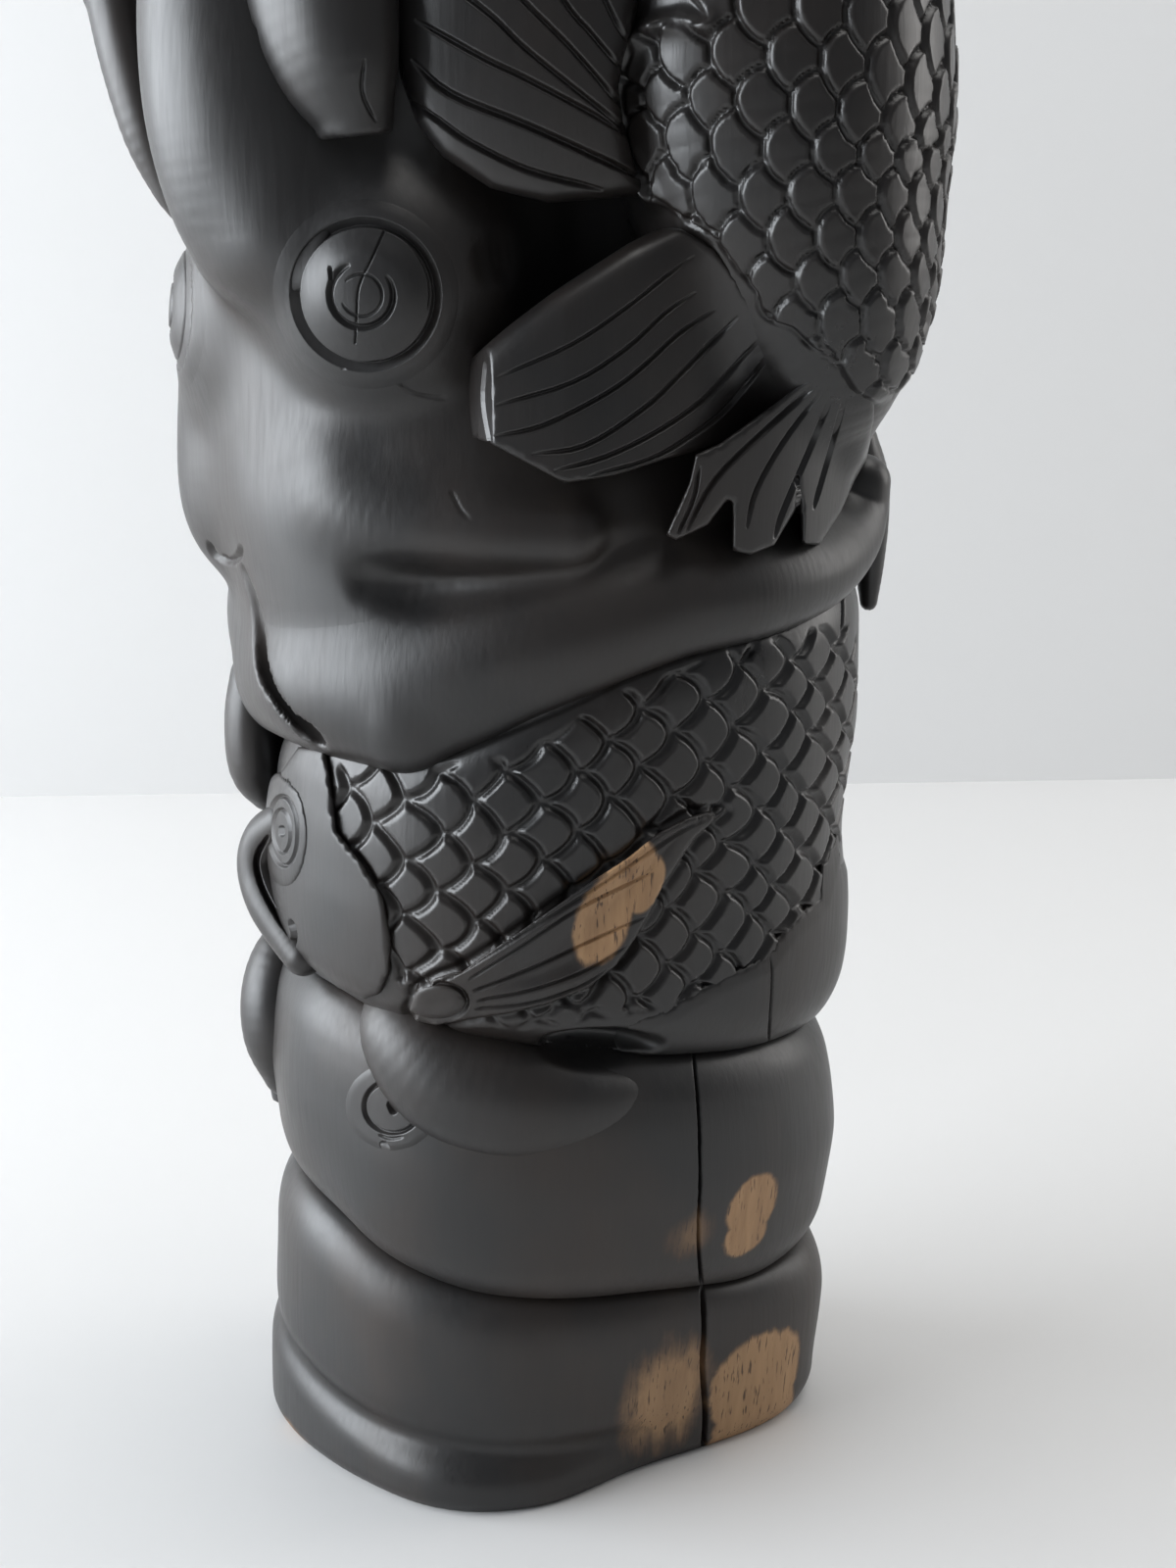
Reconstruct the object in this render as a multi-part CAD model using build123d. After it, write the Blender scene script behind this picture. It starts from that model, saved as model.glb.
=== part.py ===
from build123d import *
import math
import os

# A totem carving in blackened hardwood, cut from one billet: sea creatures stacked and wound round
# each other. Every carved element is its own closed solid, and neighbours meet face to face.
# Millimetres, +Z up, the flat foot at Z = 0, -X is the side that the heads look to.

os.makedirs("parts", exist_ok=True)

# ---- driving dimensions ----------------------------------------------------------------------
AXIS_Y = 8.0              # heart line of the billet, before the model is centred
CREASE = 6.5              # depth of the crease between two stacked creatures
FOOT_GROOVE = 3.0         # depth of the groove above the foot flange
FLANGE_H = 17.0           # height of the foot flange
TOP_START = 300.0         # where the top creatures start
FACE = -55.0              # heading of the middle of the big face
PHI = [-180, -150, -120, -90, -60, -30, 0, 30, 60, 90, 120, 150]   # headings round the billet, 0 = -Y, 90 = +X
# billet radius at those headings, by height
COLUMN = {
    0:   [58, 60, 63, 64, 57, 54, 50, 40, 44, 64, 66, 62],
    25:  [58, 60, 63, 64, 58, 56, 51, 45, 50, 64, 66, 62],
    75:  [58, 60, 62, 62, 58, 56, 53, 49, 55, 67, 66, 62],
    140: [58, 60, 63, 64, 60, 58, 55, 53, 58, 69, 67, 62],
    200: [60, 62, 66, 69, 64, 60, 57, 57, 63, 71, 70, 64],
    250: [62, 64, 70, 74, 70, 62, 59, 58, 62, 70, 68, 66],
    318: [62, 66, 74, 76, 72, 64, 56, 50, 50, 54, 60, 64],
    350: [60, 64, 70, 72, 68, 60, 52, 45, 44, 46, 52, 60],
    385: [50, 54, 58, 60, 57, 50, 43, 36, 34, 35, 40, 48],
    404: [30, 32, 36, 38, 36, 30, 26, 22, 20, 20, 24, 28],
}
# the creases are nearly flat cuts: height at the heart line, rise per mm of X, rise per mm of Y
SEAM_1 = (53.1, -0.195, 0.079)     # base to lower dolphin
SEAM_2 = (108.4, -0.176, -0.022)   # lower dolphin to lower fish
SEAM_3 = (180.2, 0.276, 0.050)     # lower fish to big head
FLAT = (0.0, 0.0, 0.0)


# ---- helpers -----------------------------------------------------------------------------------
def largest(s):
    """one closed solid: crumbs under 1 % of the piece are dropped"""
    ss = s.solids() if hasattr(s, "solids") else [v for q in s for v in q.solids()]
    return Solid(max(ss, key=lambda v: v.volume).wrapped)


def radius(k, z):
    zs = sorted(COLUMN)
    z = min(max(z, zs[0]), zs[-1])
    for a, b in zip(zs, zs[1:]):
        if z <= b:
            t = (z - a) / (b - a)
            return COLUMN[a][k] * (1 - t) + COLUMN[b][k] * t


def on_plane(pl, x, y):
    return pl[0] + pl[1] * x + pl[2] * (y - AXIS_Y)


def ring(pl_lo, pl_hi, t, grow):
    """closed spline round the billet, part t of the way from one cut to the next"""
    pl = tuple(a * (1 - t) + b * t for a, b in zip(pl_lo, pl_hi))
    pts = []
    for k, phi in enumerate(PHI):
        a = math.radians(phi)
        z = pl[0]
        for _ in range(6):
            r = radius(k, z) + grow
            x, y = r * math.sin(a), AXIS_Y - r * math.cos(a)
            z = on_plane(pl, x, y)
        pts.append((x, y, z))
    return Wire([Spline(*pts, periodic=True)])


def band(pl_lo, pl_hi, levels, grow=0.0):
    """the billet between two cuts; levels are (t, inset)"""
    return Solid.make_loft([ring(pl_lo, pl_hi, t, grow - inset) for t, inset in levels])


def creased(lo=CREASE, hi=CREASE):
    return [(t, (lo if t < 0.5 else hi) * abs(2 * t - 1) ** 3) for t in (0, 0.1, 0.28, 0.5, 0.72, 0.9, 1)]


def limb(pts, round_start=True, round_end=True):
    """a lofted limb through (x, y, z, radius) or (x, y, z, r_across, r_out) points"""
    rows = []
    n = len(pts)
    for i, p in enumerate(pts):
        a, b = pts[max(i - 1, 0)], pts[min(i + 1, n - 1)]
        t = (Vector(*b[:3]) - Vector(*a[:3])).normalized()
        rows.append((Vector(*p[:3]), t, p[3], p[4] if len(p) > 4 else p[3]))
    if round_start:
        c, t, r1, r2 = rows[0]
        m = min(r1, r2)
        rows = [(c - t * (m * 0.95), t, r1 * 0.3, r2 * 0.3), (c - t * (m * 0.6), t, r1 * 0.8, r2 * 0.8)] + rows
    if round_end:
        c, t, r1, r2 = rows[-1]
        m = min(r1, r2)
        rows = rows + [(c + t * (m * 0.6), t, r1 * 0.8, r2 * 0.8), (c + t * (m * 0.95), t, r1 * 0.3, r2 * 0.3)]
    wires = []
    for c, t, r1, r2 in rows:
        out = Vector(c.X, c.Y - AXIS_Y, 0)
        out = (out - t * out.dot(t)).normalized()
        across = t.cross(out)
        pl = Plane(origin=c, x_dir=across, z_dir=t)
        q = [pl.from_local_coords(Vector(r1 * math.cos(a), r2 * math.sin(a), 0)) for a in [i * math.pi / 4 for i in range(8)]]
        wires.append(Wire([Spline(*[(v.X, v.Y, v.Z) for v in q], periodic=True)]))
    return Solid.make_loft(wires)


def patch(outline, outer, reach=26.0):
    """the part of `outer` seen through a closed outline of surface points, cut square to the surface"""
    c = Vector(sum(p[0] for p in outline) / len(outline), sum(p[1] for p in outline) / len(outline),
               sum(p[2] for p in outline) / len(outline))
    out = Vector(c.X, c.Y - AXIS_Y, 0).normalized()
    pl = Plane(origin=c - out * reach, x_dir=Vector(0, 0, 1).cross(out), z_dir=out)
    q = [pl.to_local_coords(Vector(*p)) for p in outline]
    w = Wire([Spline(*[(v.X, v.Y) for v in q], periodic=True)])
    prism = extrude(pl * Face(w), amount=reach * 2, dir=(out.X, out.Y, out.Z))
    return largest(prism.intersect(outer))


def ball(c, r, squash=(1, 1, 1)):
    s = Sphere(1.0)
    s = scale(s, (r * squash[0], r * squash[1], r * squash[2]))
    return Location(c) * s


NODES = {}


def add(name, shape, *cut):
    for c in cut:
        shape = largest(shape - c)
    NODES[name] = largest(shape)
    print(name, round(NODES[name].volume), "mm3")


# ---- the four stacked bodies ---------------------------------------------------------------------
base_levels = [(0, 1.2), (0.07, 0.0), (0.2, 0.0), (0.33, 1.2), (0.5, FOOT_GROOVE), (0.72, 1.0), (0.9, 3.0), (1, CREASE)]
base = band(FLAT, SEAM_1, base_levels)
dolphin = band(SEAM_1, SEAM_2, creased())
fish = band(SEAM_2, SEAM_3, creased(5.0, 7.0))
head_top = (TOP_START, 0.0, 0.0)
head = band(SEAM_3, head_top, [(0, 7.0), (0.1, 4.0), (0.3, 2.0), (0.55, 2.0), (0.8, 4.0), (1, 7.0)])
crown = band(head_top, (404.0, 0.0, 0.0), [(0, 7.0), (0.12, 4.0), (0.35, 2.0), (0.6, 2.0), (0.85, 2.0), (1, 2.0)])
add("base", base)
add("lower_dolphin_body", dolphin)
add("lower_fish_body", fish)

# ---- base and lower dolphin ---------------------------------------------------------------------
flipper = limb([(-30.5, -31.0, 111.4, 6.0), (-25.0, -37.2, 103.9, 9.0), (-14.6, -41.0, 97.8, 11.5), (-1.3, -41.5, 94.7, 11.0), (11.0, -38.8, 93.5, 8.0), (21.4, -34.5, 95.5, 4.0)])
add("lower_dolphin_flipper", flipper, dolphin, fish)
eye = ball((-30.5, -35.0, 93.0), 5.6)
add("lower_dolphin_eye", eye, dolphin, NODES["lower_dolphin_flipper"])
beak = limb([(-53.4, 14.0, 113.4, 7.0), (-58.2, 6.0, 106.8, 10.0), (-59.0, 4.0, 95.6, 11.0), (-58.3, 4.0, 84.8, 8.0)])
add("lower_dolphin_beak", beak, dolphin, fish)

# ---- lower fish -----------------------------------------------------------------------------------
fish_out2 = band(SEAM_2, SEAM_3, creased(5.0, 7.0), grow=1.6)
fish_out4 = band(SEAM_2, SEAM_3, creased(3.0, 5.0), grow=3.6)
cheek = patch([(-49.7, -27.8, 168.3), (-40.2, -35.8, 153.8), (-31.9, -40.8, 144.9), (-29.1, -41.8, 132.6), (-31.1, -40.2, 121.8), (-38.1, -35.5, 119.7), (-49.6, -24.0, 123.2), (-57.1, -12.8, 129.4), (-57.5, -13.8, 145.2), (-54.6, -20.5, 160.1)], fish_out2)
add("lower_fish_cheek", cheek, fish, NODES["lower_dolphin_beak"])
fin = patch([(-24.2, -43.2, 119.9), (-14.9, -46.0, 125.0), (3.1, -46.5, 139.9), (18.9, -42.8, 150.1), (31.0, -37.2, 156.7), (38.6, -33.0, 157.6), (35.1, -35.0, 155.3), (29.0, -37.5, 148.1), (22.0, -40.5, 138.5), (15.0, -43.0, 127.7), (3.0, -46.0, 121.0), (-13.1, -46.0, 117.1), (-21.2, -44.2, 115.4)], fish_out4)
add("lower_fish_pectoral_fin", fin, fish, NODES["lower_dolphin_flipper"])
tail = patch([(21.2, -39.2, 114.6), (31.5, -34.5, 121.5), (46.6, -23.2, 120.7), (55.5, -14.8, 130.0), (65.2, 0.0, 141.1), (70.7, 8.0, 154.7), (78.0, 40.0, 129.3), (77.6, 40.0, 104.5), (67.2, 8.0, 101.3), (54.1, -14.2, 102.2), (40.4, -27.5, 102.5), (27.5, -35.0, 103.7)], fish_out4)
add("lower_fish_tail", tail, fish, NODES["lower_fish_pectoral_fin"])
lip = limb([(-55.3, -6.0, 145.1, 4.0, 5.0), (-60.1, -4.0, 139.0, 6.0, 6.0), (-60.8, -4.0, 132.2, 6.5, 6.0), (-57.1, -6.0, 124.9, 5.0, 5.0)])
add("lower_fish_lips", lip, fish, NODES["lower_fish_cheek"], NODES["lower_dolphin_beak"])
fe = ball((-53.3, -17.2, 149.5), 5.0)
add("lower_fish_eye", fe, fish, NODES["lower_fish_cheek"], NODES["lower_fish_lips"])
blunt = limb([(-60.9, 8.0, 173.8, 8.0, 7.0), (-62.8, 4.0, 166.9, 9.0, 7.0), (-62.3, 4.0, 156.9, 8.0, 6.0), (-60.6, 6.0, 151.2, 5.0, 4.0)])
add("jaw_side_fin", blunt, fish, head, NODES["lower_fish_cheek"], NODES["lower_fish_lips"])

# ---- big head ---------------------------------------------------------------------------------------
mound_n = limb([(-31.7, -30.2, 272.6, 12.0), (-30.0, -31.0, 261.6, 20.0), (-27.4, -30.2, 252.1, 15.0)])


def radius_at(phi, z):
    phi = (phi + 180) % 360 - 180
    k = int((phi + 180) // 30) % 12
    f = (phi + 180) / 30 - int((phi + 180) // 30)
    return radius(k, z) * (1 - f) + radius((k + 1) % 12, z) * f


def mirror_pt(p):
    """the same place on the far side of the big face, seated on the billet there"""
    x, y, z = p[0], p[1] - AXIS_Y, p[2]
    phi, rho = math.degrees(math.atan2(x, -y)), math.hypot(x, y)
    m = 2 * FACE - phi
    rho += radius_at(m, z) - radius_at(phi, z)
    a = math.radians(m)
    return (rho * math.sin(a), AXIS_Y - rho * math.cos(a), z) + tuple(p[3:])


nose = limb([(-60.7, -12.0, 254.8, 16.0), (-59.1, -20.0, 241.7, 16.0), (-58.3, -22.0, 228.2, 15.0), (-55.9, -22.0, 214.2, 13.0), (-54.3, -22.0, 202.1, 10.0)])
head_all = largest(head + nose - NODES["jaw_side_fin"])
NODES["big_head"] = head_all
eye_n = ball((-32.3, -32.2, 261.6), 15.5)
eye_f = ball(mirror_pt((-32.3, -32.2, 261.6)), 15.5)
add("big_head_eye_near", eye_n, head_all)
add("big_head_eye_far", eye_f, head_all)
lip_n = limb([(-50.3, -19.0, 183.0, 13.0), (-36.9, -30.0, 185.0, 16.0), (-22.3, -38.0, 186.1, 16.0), (-4.5, -42.0, 192.3, 14.0), (11.0, -41.5, 196.6, 12.0), (26.6, -35.8, 200.2, 11.0), (42.7, -28.2, 202.2, 10.0), (58.1, -12.0, 204.5, 9.5), (67.7, 5.2, 209.1, 9.0)])
lip_f = limb([mirror_pt((-44.8, -22.8, 182.8, 15.0)), mirror_pt((-32.6, -33.0, 184.8, 16.0)), mirror_pt((-22.3, -38.0, 186.1, 16.0)), mirror_pt((-4.5, -42.0, 192.3, 14.0)), mirror_pt((11.0, -41.5, 196.6, 12.0)), mirror_pt((26.6, -35.8, 200.2, 11.0)), mirror_pt((42.8, -27.0, 202.0, 10.0)), mirror_pt((56.0, -13.2, 203.9, 8.0))])
add("big_head_lip_near", lip_n, head_all, fish, NODES["jaw_side_fin"])
add("big_head_lip_far", lip_f, head_all, fish, NODES["jaw_side_fin"], NODES["big_head_lip_near"])

# ---- the upper dolphin: body, flukes, far flipper, beak ------------------------------------------------
NODES["upper_dolphin_body"] = largest(crown)
fl_n = limb([(-36.6, -38.0, 315.2, 16.0, 12.0), (-34.5, -40.0, 304.7, 14.0, 11.0), (-31.3, -42.0, 294.2, 9.0, 8.0)])
fl_f = limb([(-60.8, -26.0, 316.1, 17.0, 13.0), (-61.3, -30.0, 303.4, 17.0, 13.0), (-61.9, -32.0, 289.1, 15.0, 12.0), (-62.1, -32.0, 277.3, 10.0, 9.0), (-61.6, -32.0, 270.9, 6.0, 6.0)])
add("fluke_near", fl_n, head_all, crown, NODES["big_head_eye_near"])
add("fluke_far", fl_f, head_all, crown, NODES["fluke_near"], NODES["big_head_eye_near"])
fb = limb([(-84.8, 6.0, 318.4, 8.0, 8.0), (-82.6, 4.0, 306.8, 8.0, 8.0), (-78.9, 2.0, 293.3, 7.0, 7.0), (-75.1, 0.0, 282.7, 4.0, 4.0)])
add("far_flipper", fb, head_all, crown, NODES["fluke_far"])

# ---- the upper fish: body, head, fins, tail -------------------------------------------------------------
ufb = limb([(64.8, -14.0, 235.2, 9.0, 9.0), (60.9, -16.0, 249.2, 14.0, 14.0), (57.4, -14.0, 262.7, 21.0, 20.0), (52.8, -10.0, 279.8, 29.0, 27.0), (50.2, -8.0, 298.8, 32.5, 30.0), (46.0,-8.0,320.0,32.0,31.0), (40.0,-6.0,345.0,31.0,31.0), (34.0,-4.0,364.0,30.0,30.0)], round_end=False)
add("upper_fish_body", ufb, head_all, crown, NODES["big_head_lip_near"])
ufh = limb([(34.0,-4.0,364.0,30.0,30.0), (29.0,-3.0,382.0,28.0,28.0), (22.0,-2.0,400.0,22.0,22.0), (14.0,-1.0,414.0,14.0,13.0)], round_start=False)
add("upper_fish_head", ufh, NODES["upper_fish_body"], crown)
add("upper_fish_eye", ball((37.0,-29.0,388.0), 7.0), NODES["upper_fish_head"], NODES["upper_fish_body"], crown)
ubk = limb([(-52.0,2.0,372.0,15.0), (-44.0,-6.0,394.0,14.0), (-32.0,-14.0,409.0,10.0), (-16.0,-22.0,416.0,7.0)])
add("upper_dolphin_beak", ubk, crown, NODES["upper_fish_head"], NODES["upper_fish_body"])
head_out8 = band(SEAM_3, head_top, [(0, 7.0), (0.1, 2.0), (0.3, 2.0), (0.55, 2.0), (0.8, 3.0), (1, 4.0)], grow=7.0)
t_up = patch([(29.3, -45.8, 275.7), (18.3, -49.8, 272.2), (3.7, -52.0, 264.4), (-7.3, -52.0, 254.5), (-11.9, -51.5, 249.1), (-11.2, -50.8, 237.2), (-5.7, -51.0, 231.7), (6.3, -50.2, 227.5), (18.5, -48.0, 229.1), (30.8, -43.2, 232.6), (47.4, -34.8, 237.4), (60.0, -23.5, 240.1), (61.9, -22.2, 245.8), (46.7, -37.0, 261.8)], head_out8)
add("upper_fish_tail_upper", t_up, head_all, NODES["upper_fish_body"], NODES["big_head_lip_near"], NODES["big_head_eye_near"])
t_lo = patch([(62.0, -22.0, 244.8), (49.4, -33.5, 239.1), (35.6, -41.2, 232.4), (28.0, -43.8, 225.1), (26.6, -43.8, 215.6), (34.1, -40.2, 213.1), (44.1, -34.2, 211.0), (54.7, -24.8, 210.7), (64.0, -14.5, 217.2), (68.0, -11.2, 230.9)], head_out8)
add("upper_fish_tail_lower", t_lo, head_all, NODES["upper_fish_body"], NODES["upper_fish_tail_upper"], NODES["big_head_lip_near"])
sf = limb([(20.8, -50.0, 296.6, 13.0, 5.0), (11.0, -53.0, 298.2, 15.0, 6.0), (-1.3, -56.0, 300.6, 17.0, 7.0), (-15.3, -56.0, 303.6, 18.0, 8.0)])
add("upper_fish_side_fin", sf, head_all, crown, NODES["upper_fish_body"], NODES["fluke_near"], NODES["big_head_eye_near"])
df = limb([(72.0,22.0,262.0,7.0,5.0), (76.0,24.0,285.0,9.0,6.0), (73.0,25.0,315.0,9.0,6.0), (64.0,25.0,345.0,8.0,5.0)])
add("upper_fish_dorsal_fin", df, head_all, crown, NODES["upper_fish_body"])
rf = limb([(72.2, 22.0, 222.9, 7.0, 4.0), (74.5, 24.0, 211.7, 8.0, 4.5), (74.5, 24.0, 199.5, 6.0, 4.0)])
add("rear_fin", rf, head_all, fish, NODES["big_head_lip_near"], NODES["upper_fish_body"], NODES["upper_fish_tail_lower"])

# the finished box is centred on the origin
bb = Compound(children=[Solid(s.wrapped) for s in NODES.values()]).bounding_box()
SHIFT = (-0.5 * (bb.min.X + bb.max.X), -0.5 * (bb.min.Y + bb.max.Y), 0.0)
print("box", bb.min, bb.max, "shift", SHIFT)
for name, s in NODES.items():
    s = Location(SHIFT) * s
    s.label = name
    export_step(s, f"parts/{name}.step")
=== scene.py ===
import math, time
import bpy, bmesh
import numpy as np
import openvdb
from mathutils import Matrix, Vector


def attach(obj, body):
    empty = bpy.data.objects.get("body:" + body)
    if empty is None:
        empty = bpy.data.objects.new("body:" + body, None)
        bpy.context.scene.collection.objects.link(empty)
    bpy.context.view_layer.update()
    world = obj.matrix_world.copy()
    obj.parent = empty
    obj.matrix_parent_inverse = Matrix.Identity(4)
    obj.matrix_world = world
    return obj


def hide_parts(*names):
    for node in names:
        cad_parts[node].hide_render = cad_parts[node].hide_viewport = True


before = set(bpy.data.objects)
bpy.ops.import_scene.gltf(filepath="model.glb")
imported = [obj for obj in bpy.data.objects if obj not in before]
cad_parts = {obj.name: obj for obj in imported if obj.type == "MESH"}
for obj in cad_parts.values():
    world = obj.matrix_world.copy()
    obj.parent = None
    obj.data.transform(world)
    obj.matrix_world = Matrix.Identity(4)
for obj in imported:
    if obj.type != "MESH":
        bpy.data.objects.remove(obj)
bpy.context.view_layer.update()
T0 = time.perf_counter()

# ---------------------------------------------------------------------------------------------
# Carving frame: millimetres, +Z up, column axis at (0, AY). phi is the heading round the column,
# 0 = towards -Y, 90 = towards +X, -90 = towards -X.
# ---------------------------------------------------------------------------------------------
AY = 8.0
OX, OY = 4.8105, -3.3007      # from the carving frame to the row frame
FACE = math.radians(-55.0)   # heading of the middle of the big face


def gsm(v, s):
    """smooths a periodic table"""
    n = len(v)
    f = np.fft.rfftfreq(n, 1.0)
    return np.fft.irfft(np.fft.rfft(v) * np.exp(-2 * (np.pi * f * s) ** 2), n)


def ptab(pairs, smooth=7.0):
    """a periodic function of phi in degrees from (phi, value) pairs"""
    pairs = sorted(((p + 180) % 360 - 180, v) for p, v in pairs)
    ph = np.array([p for p, _ in pairs], float)
    va = np.array([v for _, v in pairs], float)
    ph = np.concatenate([ph - 360, ph, ph + 360])
    va = np.concatenate([va, va, va])
    g = np.arange(-180, 180, 0.5)
    t = gsm(np.interp(g, ph, va), smooth * 2)
    g2, t2 = np.append(g, 180.0), np.append(t, t[0])
    return lambda x: np.interp(x, g2, t2)


def ztab(pairs, smooth=2.0):
    """a function of one variable from (x, value) pairs, smoothed over about `smooth` units"""
    xs = np.array([p for p, _ in pairs], float)
    va = np.array([v for _, v in pairs], float)
    g = np.arange(xs[0] - 30, xs[-1] + 30, 0.25)
    t = np.interp(g, xs, va)
    k = np.arange(-int(smooth * 12), int(smooth * 12) + 1) * 0.25
    w = np.exp(-0.5 * (k / smooth) ** 2)
    w /= w.sum()
    tp = np.pad(t, len(k) // 2, mode="edge")
    t = np.convolve(tp, w, mode="valid")
    return lambda x: np.interp(x, g, t)


def polar(p):
    x, y = p[:, 0], p[:, 1] - AY
    return np.hypot(x, y), np.degrees(np.arctan2(x, -y))


def smin(a, b, k):
    h = np.maximum(k - np.abs(a - b), 0.0) / k
    return np.minimum(a, b) - h * h * h * k / 6.0


def smax(a, b, k):
    return -smin(-a, -b, k)


def sstep(a, b, x):
    t = np.clip((x - a) / (b - a), 0, 1)
    return t * t * (3 - 2 * t)


def rot(yaw=0, pitch=0, roll=0):
    a, b, c = map(math.radians, (yaw, pitch, roll))
    rz = np.array([[math.cos(a), -math.sin(a), 0], [math.sin(a), math.cos(a), 0], [0, 0, 1]])
    rx = np.array([[1, 0, 0], [0, math.cos(b), -math.sin(b)], [0, math.sin(b), math.cos(b)]])
    ry = np.array([[math.cos(c), 0, math.sin(c)], [0, 1, 0], [-math.sin(c), 0, math.cos(c)]])
    return rz @ rx @ ry


def ell(p, c, r, R=None):
    q = p - np.array(c, float)
    if R is not None:
        q = q @ R
    r = np.array(r, float)
    k0 = np.linalg.norm(q / r, axis=1)
    k1 = np.linalg.norm(q / (r * r), axis=1)
    return k0 * (k0 - 1.0) / np.maximum(k1, 1e-9)


def crom(pts, n):
    """Catmull-Rom through rows of pts (position and anything else)"""
    P_ = np.array(pts, float)
    P_ = np.vstack([2 * P_[0] - P_[1], P_, 2 * P_[-1] - P_[-2]])
    out = []
    seg = len(P_) - 3
    for i in range(seg):
        p0, p1, p2, p3 = P_[i:i + 4]
        m = n if i < seg - 1 else n + 1
        for t in np.arange(m) / n:
            out.append(0.5 * ((2 * p1) + (-p0 + p2) * t + (2 * p0 - 5 * p1 + 4 * p2 - p3) * t * t + (-p0 + 3 * p1 - 3 * p2 + p3) * t ** 3))
    return np.array(out)


def tube(p, pts, flat=1.0, n=5, full=False):
    """rows of pts are x, y, z, radius. flat < 1 thins it towards the column axis."""
    c = crom(pts, n)
    if not full and len(c) > 3:
        # exact only near each stretch of the tube; far off, the distance to its box will do
        res = np.full(len(p), 1e9)
        for i in range(0, len(c) - 1, 6):
            s = c[i:i + 7]
            m = s[:, 3].max() + 24
            out = np.linalg.norm(np.maximum(np.maximum(s[:, :3].min(0) - m - p, p - s[:, :3].max(0) - m), 0), axis=1)
            near = out <= 0
            res = np.minimum(res, np.where(near, 1e9, (24 + out) * min(flat, 1.0)))
            if near.any():
                w = np.nonzero(near)[0]
                res[w] = np.minimum(res[w], tube_part(p[w], s, flat)[0])
        return res
    best, tt = tube_part(p, c, flat)
    return (best, tt / (len(c) - 1)) if full else best


def tube_part(p, c, flat):
    best = np.full(len(p), 1e9)
    tt = np.zeros(len(p))
    for i in range(len(c) - 1):
        a, b = c[i, :3], c[i + 1, :3]
        ab = b - a
        t = np.clip(((p - a) @ ab) / (ab @ ab), 0, 1)
        q = p - (a + t[:, None] * ab)
        r = c[i, 3] + t * (c[i + 1, 3] - c[i, 3])
        if flat != 1.0:
            m = a + t[:, None] * ab
            rad = m[:, :2] - np.array([0, AY])
            rad /= np.maximum(np.linalg.norm(rad, axis=1), 1e-6)[:, None]
            k = (q[:, :2] * rad).sum(1)
            q[:, :2] += rad * (k * (1.0 / flat - 1.0))[:, None]
        d = np.linalg.norm(q, axis=1) - r
        m = d < best
        best[m] = d[m]
        tt[m] = i + t[m]
    best = best * (flat if flat < 1 else 1.0)
    return best, tt


def poly2(u, v, poly):
    """signed distance to a closed polygon, in its own units"""
    poly = np.array(poly, float)
    d = np.full(len(u), 1e9)
    inside = np.zeros(len(u), bool)
    for i in range(len(poly)):
        ax, ay = poly[i]
        bx, by = poly[(i + 1) % len(poly)]
        ex, ey = bx - ax, by - ay
        wx, wy = u - ax, v - ay
        t = np.clip((wx * ex + wy * ey) / (ex * ex + ey * ey + 1e-12), 0, 1)
        d = np.minimum(d, (wx - ex * t) ** 2 + (wy - ey * t) ** 2)
        c = (ay > v) != (by > v)
        with np.errstate(divide="ignore", invalid="ignore"):
            x = ax + (v - ay) * ex / (ey if ey != 0 else 1e-12)
        inside ^= c & (u < x)
    d = np.sqrt(d)
    return np.where(inside, -d, d)


def noise(p, s, seed=0):
    """cheap smooth noise from sines, about -1 to 1, wavelength about s mm"""
    r = np.random.default_rng(seed)
    out = np.zeros(len(p))
    for _ in range(7):
        k = r.normal(size=3)
        k = k / np.linalg.norm(k) * (2 * math.pi / s) * r.uniform(0.6, 1.5)
        out += np.sin(p @ k + r.uniform(0, 6.28))
    return out / 3.2


EYE = (11.0, -481.0, 283.5)   # the front sections below are drawn on the plane y = 0 as seen from here


def front(p):
    """where a point falls on the front drawing plane"""
    t = (0.0 - EYE[1]) / np.maximum(p[:, 1] - EYE[1], 50.0)
    return EYE[0] + (p[:, 0] - EYE[0]) * t, EYE[2] + (p[:, 2] - EYE[2]) * t


def fpoly(p, poly):
    x, z = front(p)
    return poly2(x, z, poly)


def segdist(x, z, line):
    """distance to a polyline in the drawing plane and the part of its length (0..1) at the nearest point"""
    c = np.array(line, float)
    L = np.concatenate([[0], np.cumsum(np.hypot(*(c[1:] - c[:-1]).T))])
    best = np.full(len(x), 1e9)
    par = np.zeros(len(x))
    for i in range(len(c) - 1):
        ex, ez = c[i + 1] - c[i]
        t = np.clip(((x - c[i, 0]) * ex + (z - c[i, 1]) * ez) / (ex * ex + ez * ez + 1e-9), 0, 1)
        d = np.hypot(x - c[i, 0] - ex * t, z - c[i, 1] - ez * t)
        m = d < best
        best[m] = d[m]
        par[m] = (L[i] + t[m] * (L[i + 1] - L[i])) / L[-1]
    return best, par


def smooth2(line, n=4):
    return crom([(a, b) for a, b in line], n) if len(line) > 2 else np.array(line, float)


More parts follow.
